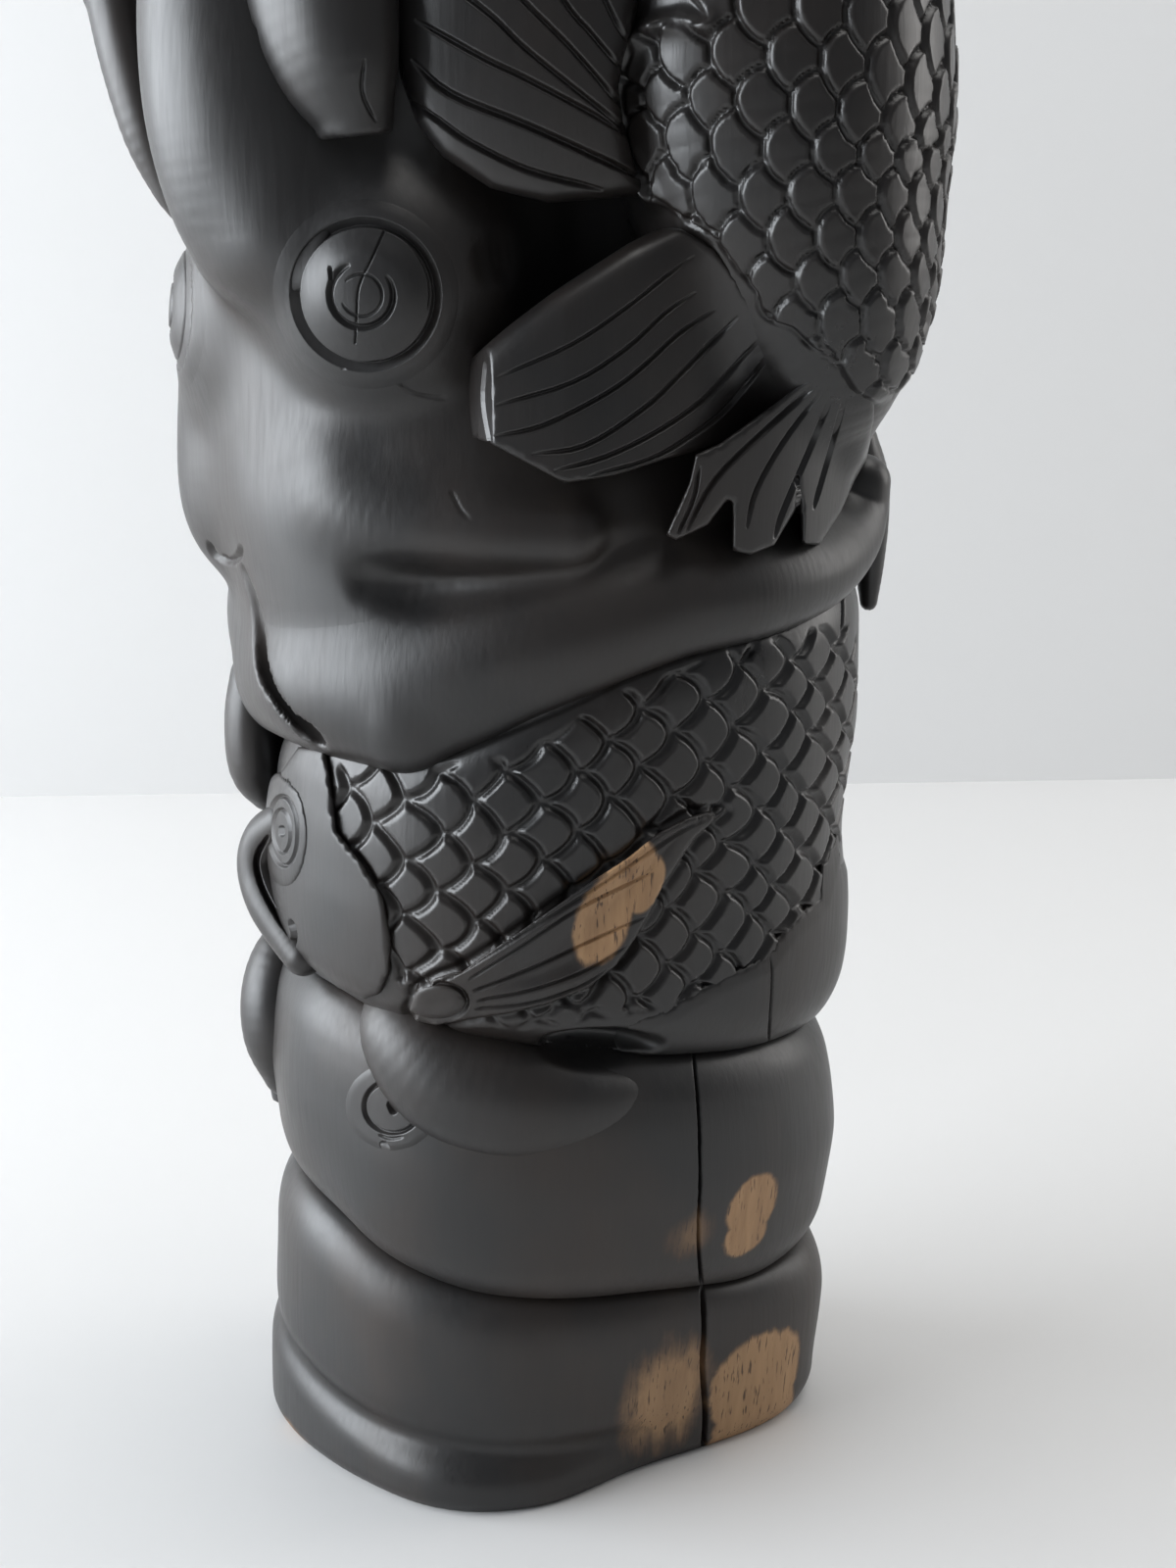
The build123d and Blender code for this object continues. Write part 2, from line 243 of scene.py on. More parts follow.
def cuts(p, lines, facing=None):
    """V grooves along front-plane lines: (points, half width, depth[, taper at start, taper at end])"""
    x, z = front(p)
    out = np.zeros(len(p))
    fr = (p[:, 1] < AY + 25)
    if facing is not None:
        fr &= facing
    for ln in lines:
        pts, w, d = ln[:3]
        ts, te = ln[3:5] if len(ln) > 3 else (0.15, 0.15)
        c = smooth2(pts)
        lo, hi = c.min(0) - 2 * w, c.max(0) + 2 * w
        m = np.nonzero((x > lo[0]) & (x < hi[0]) & (z > lo[1]) & (z < hi[1]) & fr)[0]
        if not len(m):
            continue
        r, s = segdist(x[m], z[m], c)
        k = np.ones(len(m))
        if ts:
            k *= np.clip(s / ts, 0, 1) ** 0.6
        if te:
            k *= np.clip((1 - s) / te, 0, 1) ** 0.6
        g = -d * k * np.clip(1 - r / (w * (0.45 + 0.55 * k)), 0, 1) ** 0.8
        out[m] = np.minimum(out[m], g)
    return out


def facing(p, n):
    v = p - np.array(EYE)
    return (v * n).sum(1) < 0


def near_lines(p, lines, grow=1.0):
    """which points are near the grooves, for the finer mesh there"""
    x, z = front(p)
    out = np.zeros(len(p), bool)
    fr = p[:, 1] < AY + 25
    for ln in lines:
        pts, w = ln[0], ln[1]
        c = smooth2(pts, 3)
        lo, hi = c.min(0) - w - grow, c.max(0) + w + grow
        m = np.nonzero((x > lo[0]) & (x < hi[0]) & (z > lo[1]) & (z < hi[1]) & fr & ~out)[0]
        if len(m):
            out[m] = segdist(x[m], z[m], c)[0] < w + grow
    return out


def ellsd(u, v, ru, rv):
    k0 = np.hypot(u / ru, v / rv)
    k1 = np.hypot(u / ru ** 2, v / rv ** 2)
    return k0 * (k0 - 1) / np.maximum(k1, 1e-6)


def scales(u, v, c, d, R, e, w, depth, tilt=0.0, span=2, seed=3, jit=0.35, power=2.0):
    """overlapping discs on the lattice i*c + j*d. e points to the free edge. Gives groove depth and tilt, and the groove distance."""
    c, d, e = np.array(c, float), np.array(d, float), np.array(e, float)
    e /= np.linalg.norm(e)
    M = np.linalg.inv(np.stack([c, d], 1))
    ij = M @ np.stack([u, v])
    bi, bj = np.round(ij[0]), np.round(ij[1])
    sds, ws, rel = [], [], []
    for a in range(-span, span + 1):
        for b_ in range(-span, span + 1):
            i, j = bi + a, bj + b_
            h1 = np.sin(i * 12.9898 + j * 78.233 + seed) * 43758.5453
            h2 = np.sin(i * 39.346 + j * 11.135 + seed) * 24634.6345
            jx, jy = (h1 - np.floor(h1) - 0.5) * jit * 2, (h2 - np.floor(h2) - 0.5) * jit * 2
            cx, cy = i * c[0] + j * d[0] + jx, i * c[1] + j * d[1] + jy
            du, dv = u - cx, v - cy
            lu = du * e[0] + dv * e[1]
            lv = -du * e[1] + dv * e[0]
            if power == 2.0:
                sds.append(ellsd(lu, lv, R[0], R[1]))
            else:
                sds.append((((np.abs(lu) / R[0]) ** power + (np.abs(lv) / R[1]) ** power) ** (1 / power) - 1) * 0.72 * min(R))
            ws.append(cx * e[0] + cy * e[1])
            rel.append(lu)
    sds, ws, rel = np.array(sds), np.array(ws), np.array(rel)
    inside = sds < 0
    wi = np.where(inside, ws, 1e9)
    own = wi.argmin(0)
    k = np.arange(len(u))
    wo = ws[own, k]
    g = np.where((ws <= wo + 1e-6), np.abs(sds), 1e9).min(0)
    lu = rel[own, k]
    groove = -depth * np.clip(1 - g / w, 0, 1) ** 0.75
    t = tilt * np.clip((lu + R[0]) / (2 * R[0]), 0, 1)
    return groove, t, g


def make(name, f, lo, hi, h=2.0, sub=1, newton=3, detail=None, refine=None, levels=1):
    """meshes f(points) = 0 inside the box lo..hi: quads on a grid of h mm, subdivided, then moved onto the true surface"""
    t0 = time.perf_counter()
    lo, hi = np.array(lo, float), np.array(hi, float)
    n = np.ceil((hi - lo) / h).astype(int) + 1
    n += n % 2 == 0
    ax = [lo[i] + h * np.arange(n[i]) for i in range(3)]
    # every second sample first, then the rest only near the surface
    gc = np.stack(np.meshgrid(*[a[::2] for a in ax], indexing="ij"), -1)
    sh = gc.shape[:3]
    dc = f(gc.reshape(-1, 3)).reshape(sh)
    d = np.empty(n)
    for a in range(2):
        for b_ in range(2):
            for c_ in range(2):
                s0 = dc[a:, b_:, c_:][:sh[0] - a, :sh[1] - b_, :sh[2] - c_]
                s1 = dc[:sh[0] - a, :sh[1] - b_, :sh[2] - c_]
                t = d[a::2, b_::2, c_::2]
                m = 0.5 * (s0 + s1)
                t[:m.shape[0], :m.shape[1], :m.shape[2]] = m[:t.shape[0], :t.shape[1], :t.shape[2]]
    d[::2, ::2, ::2] = dc
    idx = np.nonzero(np.abs(d) < 4.5 * h)
    q = np.stack([ax[i][idx[i]] for i in range(3)], -1)
    d[idx] = f(q)
    d = np.clip(d, -3 * h, 3 * h).astype(np.float32)
    for a in range(3):
        for e_ in (0, -1):
            s = [slice(None)] * 3
            s[a] = e_
            d[tuple(s)] = np.maximum(d[tuple(s)], 0.3 * h)
    grid = openvdb.FloatGrid(3 * h)
    grid.copyFromArray(d)
    v, q = grid.convertToQuads(isovalue=0.0)
    v = v.astype(float) * h + lo
    me = bpy.data.meshes.new(name)
    me.from_pydata(v.tolist(), [], q.tolist())
    ob = bpy.data.objects.new(name, me)
    bpy.context.scene.collection.objects.link(ob)
    if sub:
        m = ob.modifiers.new("s", "SUBSURF")
        m.levels = m.render_levels = sub
        dg = bpy.context.evaluated_depsgraph_get()
        me2 = bpy.data.meshes.new_from_object(ob.evaluated_get(dg))
        ob.modifiers.clear()
        ob.data = me2
        bpy.data.meshes.remove(me)
        me = me2
    e = 0.25

    def settle(co, times):
        gr = None
        for _ in range(times):
            d0 = f(co)
            gr = np.stack([f(co + np.array(o) * e) - d0 for o in np.eye(3)], -1) / e
            gl = np.maximum((gr ** 2).sum(1), 0.15)
            st = (d0 / gl)[:, None] * gr
            ln = np.linalg.norm(st, axis=1)
            st *= np.minimum(1.0, 1.2 * h / np.maximum(ln, 1e-9))[:, None]
            co = co - st
        return co, gr / np.maximum(np.linalg.norm(gr, axis=1), 1e-9)[:, None]

    def getco():
        co = np.zeros(len(me.vertices) * 3)
        me.vertices.foreach_get("co", co)
        return co.reshape(-1, 3)

    co, nr = settle(getco(), newton)
    if refine is not None:
        for lev in range(levels):
            me.vertices.foreach_set("co", co.astype(np.float32).ravel())
            near = refine(co, lev) & facing(co, nr)
            bm = bmesh.new()
            bm.from_mesh(me)
            bm.verts.ensure_lookup_table()
            es = [ed for ed in bm.edges if near[ed.verts[0].index] or near[ed.verts[1].index]]
            bmesh.ops.subdivide_edges(bm, edges=es, cuts=1, use_grid_fill=True)
            ng = [fa for fa in bm.faces if len(fa.verts) > 4]
            if ng:
                bmesh.ops.triangulate(bm, faces=ng)
            bm.to_mesh(me)
            bm.free()
            co, nr = settle(getco(), 1)
    if detail is not None:
        co = co + nr * detail(co, nr)[:, None]
    co[:, 2] = np.maximum(co[:, 2], 0.0)
    co[:, 0] += OX
    co[:, 1] += OY
    me.vertices.foreach_set("co", (co * 0.001).astype(np.float32).ravel())
    me.update()
    bm = bmesh.new()
    bm.from_mesh(me)
    if bm.calc_volume(signed=True) < 0:
        bmesh.ops.reverse_faces(bm, faces=bm.faces)
    bm.to_mesh(me)
    bm.free()
    me.shade_smooth()
    print("MADE %-28s verts %7d faces %7d  %.1f s" % (name, len(me.vertices), len(me.polygons), time.perf_counter() - t0))
    return ob


def own(f, d, ramp=0.06, end=7.0):
    """one piece's share of a common skin: where d > 0 it sinks slowly under its neighbour, then ends"""
    return smax(f + ramp * np.maximum(d, 0), (d - end) * 0.9, 1.5)


class Rtab:
    """radius as a smooth function of (phi, row); rows are heights or 0..1 parts of a band"""

    def __init__(self, phis, rows, smooth_phi=7.0, smooth_row=0.0, n=160):
        ks = sorted(rows)
        self.lo, self.hi = ks[0], ks[-1]
        ph = np.array(list(phis) + [phis[0] + 360.0])
        g = np.arange(-180, 180, 1.0)
        fine = []
        for k in ks:
            v = np.array(list(rows[k]) + [rows[k][0]], float)
            fine.append(gsm(np.interp(g, ph, v), smooth_phi))
        fine = np.array(fine)
        r = np.linspace(self.lo, self.hi, n)
        t = np.stack([np.interp(r, ks, fine[:, i]) for i in range(360)], 1)
        if smooth_row:
            s = smooth_row / (r[1] - r[0])
            w = np.exp(-0.5 * (np.arange(-int(3 * s) - 1, int(3 * s) + 2) / s) ** 2)
            w /= w.sum()
            m = len(w) // 2
            tp = np.concatenate([np.repeat(t[:1], m, 0), t, np.repeat(t[-1:], m, 0)])
            t = np.stack([np.convolve(tp[:, i], w, mode="valid") for i in range(360)], 1)
        self.t = np.concatenate([t, t[:, :1]], 1)
        self.n = n

    def __call__(self, phi, row):
        x = np.clip((phi + 180.0), 0, 359.999)
        y = np.clip((row - self.lo) / (self.hi - self.lo), 0, 1) * (self.n - 1.001)
        i, j = x.astype(int), y.astype(int)
        a, b = x - i, y - j
        t = self.t
        return (t[j, i] * (1 - a) + t[j, i + 1] * a) * (1 - b) + (t[j + 1, i] * (1 - a) + t[j + 1, i + 1] * a) * b


PH = [-180, -150, -120, -90, -75, -60, -45, -30, -15, 0, 15, 30, 45, 60, 75, 90, 120, 150]


def pt(phi, rho, z):
    a = math.radians(phi)
    return (rho * math.sin(a), AY - rho * math.cos(a), z)


def edge(d, r, depth):
    """how far a rounded edge falls back at distance d from a crease"""
    u = np.clip(1 - d / r, 0, 1)
    return depth * (1 - np.sqrt(np.maximum(1 - u * u, 0)))


# ---- creases round the column ------------------------------------------------------------------
SEAM1 = ptab([(-90, 64), (-67, 62.5), (-52, 60), (-41, 55.5), (-29, 53), (-18, 51), (-3, 50), (15, 48), (37, 46), (52, 44), (68, 41), (90, 41), (130, 47), (180, 58), (-130, 64)], 5)
SEAM2 = ptab([(-90, 118), (-68, 116), (-51, 116), (-37, 113), (-24, 112), (-11, 111), (3, 109), (19, 106), (35, 103), (44, 102), (57, 100), (70, 99), (90, 97.5), (130, 101), (180, 110), (-130, 116)], 5)
SEAM3 = ptab([(-90, 164), (-70, 169), (-57, 172), (-35, 171), (-23, 171), (-13, 174), (-5, 177.5), (7.5, 182.5), (20, 188), (34, 191.5), (48, 193), (58, 194), (71, 197), (88, 199), (130, 196), (165, 184), (-165, 174), (-130, 167)], 4)

# ---- base ----------------------------------------------------------------------------------------
FOOT = ptab([(-180, 58), (-150, 60), (-120, 63), (-90, 65), (-75, 61.5), (-60, 57.6), (-45, 55.6), (-30, 55.2), (-15, 53.2), (0, 49.5), (15, 43.8), (30, 40.4), (45, 40.9), (60, 46), (75, 54.5), (90, 64), (120, 66), (150, 62)], 5)
BOULDER = Rtab(PH, {
    0:  [56, 58, 61, 63.5, 61, 57.0, 54, 52, 50, 47, 44, 42, 42, 47, 56, 65.5, 66, 61],
    25: [57, 59, 62, 64.0, 61.5, 58, 55, 53, 51, 48, 45.5, 44, 45, 50, 59, 68.0, 67, 62],
    45: [57, 59, 62, 62.5, 60.5, 58, 55.5, 53.5, 51.5, 49, 47.0, 46, 48, 53, 60, 67.5, 67, 62],
    70: [56, 58, 60, 61.0, 59.5, 57, 55, 53, 51, 49, 47.5, 47, 49, 54, 60, 66.0, 65, 60]}, 7, 7)
ZGROOVE = ptab([(-180, 18), (-120, 24), (-90, 27), (-75, 22), (-60, 18), (-40, 15), (-20, 13.5), (0, 12.5), (20, 11.5), (40, 10), (70, 10), (120, 14)], 6)
AGROOVE = ptab([(-180, 1.5), (-120, 1.5), (-90, 1.2), (-75, 2.0), (-50, 3.0), (-20, 3.4), (5, 3.0), (20, 2.0), (32, 0.6), (45, 0.0), (90, 0.0), (130, 1.0)], 5)
AFLANGE = ptab([(-180, 1), (-120, 1), (-90, 1), (-60, 1), (0, 1), (25, 1), (45, 0.6), (60, 0), (100, 0), (140, 1)], 5)
CRACK_BASE = [[(37.6, 33.2), (38.4, 23.6), (38.1, 12.1), (38.9, 0.4), (38.6, -10.6)], 0.75, 3.2, 0.12, 0.0]
CRACK_DOL = [[(34.8, 92.0), (36.3, 78.1), (37.0, 61.1), (36.7, 46.2), (37.6, 32.2)], 0.5, 2.6, 0.2, 0.0]


def pit(p, c, ru, rv, depth):
    """sinks the skin inside a front-plane ellipse so that a separate insert shows its own cuts"""
    x, z = front(p)
    d = (np.hypot((x - c[0]) / ru, (z - c[1]) / rv) - 1) * min(ru, rv)
    return depth * sstep(0.0, -1.2, d) * (p[:, 1] < AY)


DOL_EYE = (-33.8, 78.1)
FEYE = (-56.4, 143.8)
EYEN = (-35.2, 259.8)


def f_base(p):
    rho, ph = polar(p)
    z = p[:, 2]
    zs = SEAM1(ph)
    zg = ZGROOVE(ph)
    s = sstep(-3, 7, z - zg)
    foot = FOOT(ph)
    r_fl = foot - 1.8 * np.clip(1 - z / 4.0, 0, 1) ** 2
    r_bo = BOULDER(ph, z)
    a = AFLANGE(ph)
    r = (r_fl * (1 - s) + r_bo * s) * a + r_bo * (1 - a) - (1 - a) * 3.2 * np.clip(1 - z / 7.0, 0, 1) ** 2
    r = r - AGROOVE(ph) * np.exp(-((z - zg) / 4.2) ** 2) + 0.25 * noise(p, 34, 2)
    d = zs - z
    r = r - edge(d, 14, 6.5) - np.maximum(-d, 0) * 2.5
    f = (rho - r) * 0.85
    f = smax(f, z - zs - 3.0, 2)
    return smax(f, -z, 0.8)


# ---- lower dolphin ---------------------------------------------------------------------------------
DOL = Rtab(PH, {
    0.0: [58, 60, 63, 60, 57, 55.0, 54, 53.5, 52.5, 51, 48.5, 48.0, 50, 54, 59, 65, 66, 61],
    0.25: [60, 62, 64, 61, 59, 58.0, 57.5, 57, 55.5, 54, 51.5, 51.0, 52.5, 56, 61, 67.5, 68, 63],
    0.5: [60, 62, 64, 62, 61, 60.0, 59, 58, 57, 55.5, 53.5, 52.5, 54, 57.5, 63, 69.5, 69, 63],
    0.75: [59, 61, 63, 60, 60, 60.0, 58.5, 57, 56, 54.5, 53, 52.0, 53.5, 57, 62, 68, 68, 62],
    1.0: [58, 60, 62, 57, 57, 57.0, 56, 54.5, 53, 51.5, 50, 49.5, 51, 54.5, 59.5, 65, 66, 60]}, 6, 0.05)


POCKET = ((16.3, -43.8, 108.3), (16.0, 13.0, 5.2), 9)


def f_dol(p):
    rho, ph = polar(p)
    z = p[:, 2]
    zl, zu = SEAM1(ph), SEAM2(ph)
    t = (z - zl) / (zu - zl)
    r = DOL(ph, t)
    r = r - edge(z - zl, 11, 7.0) - edge(zu - z, 10, 5.0) + 0.3 * noise(p, 40, 5)
    r = r - np.maximum(zl - z, 0) * 2.5 - np.maximum(z - zu, 0) * 2.5
    f = (rho - r) * 0.85
    # the dark hollow above the flipper
    f = smax(f, -ell(p, POCKET[0], POCKET[1], rot(roll=POCKET[2])), 1.5)
    f = f + pit(p, DOL_EYE, 8.6, 8.6, 1.8)
    return smax(smax(f, z - zu - 4, 2), zl - 4 - z, 2)


def f_flip(p):
    """the crescent flipper: a bulging lobe with a scooped facet along its inner edge"""
    f = tube(p, [(-31.6, -27.8, 112.4, 6.0), (-27.2, -34.0, 107.7, 10.5), (-18.8, -37.8, 101.3, 13.5), (-7.5, -39.5, 97.6, 14.0), (2.8, -38.5, 95.8, 12.0), (11.8, -36.2, 94.9, 9.5), (18.9, -34.2, 95.8, 6.0), (23.5, -33.0, 97.1, 2.5)], flat=0.8)
    f = smax(f, -ell(p, (13.4, -52.5, 115.0), (20.0, 12.0, 10.5), rot(roll=-6)), 0.8)
    f = smax(f, -ell(p, POCKET[0], POCKET[1], rot(roll=POCKET[2])), 1.0)
    return f


DOL_EYE = (-33.8, 78.1)
G_DOL_EYE = [[[(DOL_EYE[0] + 6.4 * math.cos(a), DOL_EYE[1] + 6.4 * math.sin(a)) for a in np.radians(np.arange(50, 371, 16))], 0.62, 1.0, 0.05, 0.1],
             [[(DOL_EYE[0] - 0.2, DOL_EYE[1] + 0.6), (DOL_EYE[0] + 0.3, DOL_EYE[1] - 0.8)], 1.1, 1.6, 0.0, 0.0],
             [[(-36.0, 68.9), (-35.4, 67.9)], 0.9, 1.1, 0.0, 0.0],
             [[(-37.1, 71.3), (-34.4, 70.3), (-31.3, 70.8)], 0.5, 0.5]]


def f_dol_eye(p):
    x, z = front(p)
    d = np.hypot(x - DOL_EYE[0], z - DOL_EYE[1]) - 9.5
    d = np.maximum(d, p[:, 1] - AY)
    return own(f_dol(p) - pit(p, DOL_EYE, 8.6, 8.6, 1.8) - 0.2, d, 0.15, 2.0)


def f_beak(p):
    a = tube(p, [(-50.9, 22.0, 113.1, 6.0), (-57.3, 14.0, 111.1, 8.0), (-60.2, 10.0, 104.1, 9.0), (-60.3, 8.0, 94.1, 9.0), (-58.7, 9.0, 84.0, 6.5)], flat=0.9)
    return smin(a, tube(p, [(-59.1, 16.0, 78.7, 5.0), (-58.7, 18.0, 65.4, 4.0)]), 1.0)


# ---- lower fish ---------------------------------------------------------------------------------------
FISH = Rtab(PH, {
    0.0: [58, 60, 62, 58, 57.5, 57.5, 56.5, 56, 55, 53.5, 51.5, 50.5, 52, 56, 61, 67, 66, 60],
    0.15: [59, 61, 63, 59, 59, 59.5, 59, 58.5, 57.5, 56, 54, 53.5, 55, 59, 64, 70.5, 69, 62],
    0.3: [60, 62, 63, 59, 60, 60.5, 60, 59.5, 58.5, 57, 55, 54.5, 56, 60, 65, 70.5, 69, 62],
    0.45: [60, 62, 63, 59, 60, 60.5, 60.5, 60, 59, 57.5, 56, 56, 57.5, 61, 65, 68.0, 69, 62],
    0.7: [60, 62, 63, 58, 58.5, 60.0, 60, 59.5, 59, 58, 57, 57.5, 59, 62.5, 67, 71.5, 71, 64],
    1.0: [58, 60, 61, 56, 57.5, 58.5, 58, 57.5, 57, 57, 57, 57.5, 60, 63, 67, 71, 70, 63]}, 6, 0.04)


def f_fish(p):
    rho, ph = polar(p)
    z = p[:, 2]
    zl, zu = SEAM2(ph), SEAM3(ph)
    t = (z - zl) / (zu - zl)
    r = FISH(ph, t)
    r = r - edge(z - zl, 12, 5.5) - edge(zu - z, 9, 2.5)
    r = r - np.maximum(zl - z, 0) * 2.5
    f = smax((rho - r) * 0.85, -ell(p, POCKET[0], POCKET[1], rot(roll=POCKET[2])), 1.5)
    return smax(smax(f, z - zu - 6, 2), zl - 4 - z, 2)


# front outline of the scaled part
SCALED = [(-42.3, 160.8), (-45.2, 154.6), (-44.3, 143.8), (-38.6, 136.1), (-34.4, 128.6), (-32.9, 118.3), (-32.2, 108.9), (-27.7, 103.8), (-17.8, 99.1), (-2.3, 97.7), (11.0, 99.5), (24.3, 101.9), (37.5, 106.1), (51.1, 112.4), (54.9, 118.7), (63.0, 126.3), (64.3, 136.6), (69.0, 145.7), (71.1, 163.5), (71.9, 176.7), (67.7, 189.7), (63.9, 189.7), (53.4, 187.1), (40.7, 183.6), (28.0, 178.8), (15.3, 174.0), (5.6, 166.1), (-6.2, 160.2), (-23.4, 158.0), (-32.0, 159.5)]
FIN = [(-29.3, 101.9), (-27.6, 106.6), (-23.2, 109.4), (-17.6, 111.3), (-6.6, 118.7), (2.2, 125.2), (11.0, 131.6), (19.7, 137.5), (26.6, 143.4), (32.6, 146.8), (37.4, 148.4), (41.3, 148.4), (38.7, 146.1), (34.4, 142.0), (31.4, 137.1), (27.6, 131.1), (25.0, 125.2), (21.5, 118.7), (17.2, 112.4), (11.0, 107.1), (2.2, 103.3), (-6.7, 101.0), (-15.6, 99.5), (-23.4, 98.1), (-27.8, 99.1)]
BOSS = (-23.1, 103.6)
G_FIN = [[[(-15.9, 108.9), (-4.4, 116.4), (8.8, 125.6), (21.9, 132.5), (25.8, 134.8)], 0.5, 0.8, 0.05, 0.15],
         [[(-15.1, 106.1), (-2.2, 111.3), (11.0, 117.8), (24.1, 124.0)], 0.55, 0.9, 0.05, 0.2],
         [[(-14.2, 103.8), (-1.1, 106.6), (11.0, 111.3), (19.8, 117.1)], 0.55, 0.9, 0.05, 0.2],
         [[(-14.7, 101.9), (-2.3, 103.3), (8.8, 107.1), (15.8, 111.7)], 0.5, 0.8, 0.05, 0.2],
         [[(-22.5, 108.0), (-6.6, 117.8), (11.0, 129.3), (24.0, 138.4), (32.7, 144.3), (40.2, 147.9)], 0.6, 0.7, 0.05, 0.2],
         [[(BOSS[0] + 6.9 * math.cos(a), BOSS[1] + 4.6 * math.sin(a)) for a in np.radians(np.arange(-150, 166, 15))], 0.65, 1.1, 0.05, 0.05]]
CHEEK = [(-46.5, 163.1), (-45.5, 154.6), (-44.5, 143.8), (-38.8, 136.1), (-34.6, 128.6), (-33.1, 118.3), (-33.5, 111.3), (-35.8, 105.7), (-39.4, 104.3), (-45.3, 107.1), (-51.8, 112.4), (-57.0, 119.4), (-61.1, 126.3), (-62.5, 136.6), (-60.4, 147.9), (-56.8, 156.8), (-52.3, 163.1)]
G_CHEEK = [[[(FEYE[0] + 3.2 * math.cos(a), FEYE[1] + 8.0 * math.sin(a)) for a in np.radians(np.arange(-100, 261, 15))], 0.55, 0.7, 0, 0],
           [[(FEYE[0] - 0.3 + 1.9 * math.cos(a), FEYE[1] + 5.0 * math.sin(a)) for a in np.radians(np.arange(0, 361, 20))], 0.45, 0.55, 0, 0],
           [[(FEYE[0] - 0.3, FEYE[1] + 0.7), (FEYE[0] - 0.3, FEYE[1] - 0.7)], 0.7, 1.0, 0, 0],
           [[(-55.9, 114.8), (-54.8, 119.4), (-55.6, 123.3)], 0.8, 1.3]]
CRACK_FISH = [[[(51.9, 114.8), (52.5, 108.9), (51.9, 93.4)], 0.35, 1.0],
              [[(65.0, 201.4), (65.9, 193.9), (65.7, 187.1)], 0.35, 1.0]]


def scale_uv(p):
    rho, ph = polar(p)
    u = np.radians(ph) * 57.0 + 0.9 * noise(p, 26, 11)
    v = p[:, 2] - 145 + 0.9 * noise(p, 26, 12)
    s = 1.0 - 0.30 * sstep(0, 30, SEAM2(ph) + 26 - p[:, 2]) * sstep(-40, -10, ph)
    return u, v, ph, s


def d_fish(co, nr):
    u, v, ph, s = scale_uv(co)
    a, t, g = scales(u, v, (0.0, 12.4), (7.0, 6.2), (8.2, 6.7), (1.0, 0.0), 0.85, 1.5, tilt=0.5, power=1.6, jit=0.45)
    a2, t2, g2 = scales(u, v, (0.0, 7.6), (5.6, 3.8), (6.0, 4.1), (1.0, 0.0), 0.75, 1.0, tilt=0.25, power=1.4)
    low = sstep(14, 10, co[:, 2] - SEAM2(ph)) * sstep(-36, -30, ph)
    a = np.where(low > 0.5, a2, a)
    m = fpoly(co, SCALED)
    front_side = co[:, 1] < AY + 8
    zl, zu = SEAM2(ph), SEAM3(ph)
    back = (co[:, 2] > zl + 14) & (co[:, 2] < zu - 6) & (ph > -200)
    k = np.where(front_side, sstep(1.2, -1.0, m), sstep(0, 5, co[:, 2] - zl - 14) * sstep(0, 5, zu - 5 - co[:, 2]) * sstep(-130, -150, np.where(ph > 0, ph - 360, ph)))
    out = a * k
    rim = fpoly(co, FIN)
    fs = co[:, 1] < AY
    out += np.where(fs, -0.9 * np.exp(-((rim - 0.8) / 0.8) ** 2), 0)
    return out + cuts(co, CRACK_FISH)


def f_cheek(p):
    x, z = front(p)
    d = poly2(x, z, CHEEK)
    f = f_fish(p) - 1.3
    f = smax(f, d * 0.9, 1.6) + pit(p, FEYE, 3.4, 8.4, 1.6)
    return smax(f, p[:, 1] - 8, 1)


def f_pfin(p):
    x, z = front(p)
    d = poly2(x, z, FIN)
    b = np.hypot((x - BOSS[0]) / 6.6, (z - BOSS[1]) / 4.4)
    lift = 2.2 + 1.0 * sstep(1.25, 0.6, b) + 1.2 * sstep(-8, -2, d) * sstep(-4, 6, z - BOSS[1]) - 0.05 * np.maximum(x - BOSS[0] - 25, 0)
    f = f_fish(p) - lift
    return smax(smax(f, d * 0.9, 1.2), p[:, 1] - 8, 1)


def f_belly(p):
    x, z = front(p)
    d = poly2(x, z, [(19.9, 94.8), (30.9, 99.5), (41.9, 106.1), (52.9, 111.3), (57.5, 118.7), (64.8, 126.1), (66.7, 136.6), (70.7, 145.7), (79.9, 154.6), (89.5, 132.0), (82.1, 94.8), (46.8, 82.9), (24.4, 85.3)])
    rho, ph = polar(p)
    dz = np.maximum(np.maximum(p[:, 2] - (SEAM2(ph) + 34 - 0.1 * (ph - 90)), 60 - ph), ph - 165)
    d = np.where(p[:, 1] < 0, d, np.maximum(dz, -6 + 0 * dz) if False else dz)
    return own(f_fish(p) - 0.5, d, 0.16, 4.0)


def f_fish_lips(p):
    f = tube(p, [(-54.4, -12.0, 149.5, 4.5), (-58.3, -9.0, 145.6, 5.0), (-60.4, -8.0, 140.8, 5.0), (-60.0, -9.0, 135.8, 5.2), (-57.6, -12.0, 130.9, 5.4), (-53.9, -16.0, 126.4, 5.2), (-50.0, -21.0, 122.1, 4.4)])
    return f


G_LIPS = [[[(-59.7, 142.9), (-62.5, 137.5), (-61.8, 131.6), (-59.0, 125.2), (-55.7, 119.4)], 0.75, 2.0],
          [[(-58.8, 125.2), (-56.9, 122.6), (-54.8, 121.0)], 0.9, 2.0]]


def f_fish_eye(p):
    x, z = front(p)
    d = np.hypot((x - FEYE[0]) / 3.7, (z - FEYE[1]) / 9.0) - 1
    d = np.maximum(d * 4, p[:, 1] - AY)
    return own(f_fish(p) - 1.75, d, 0.15, 2.0)


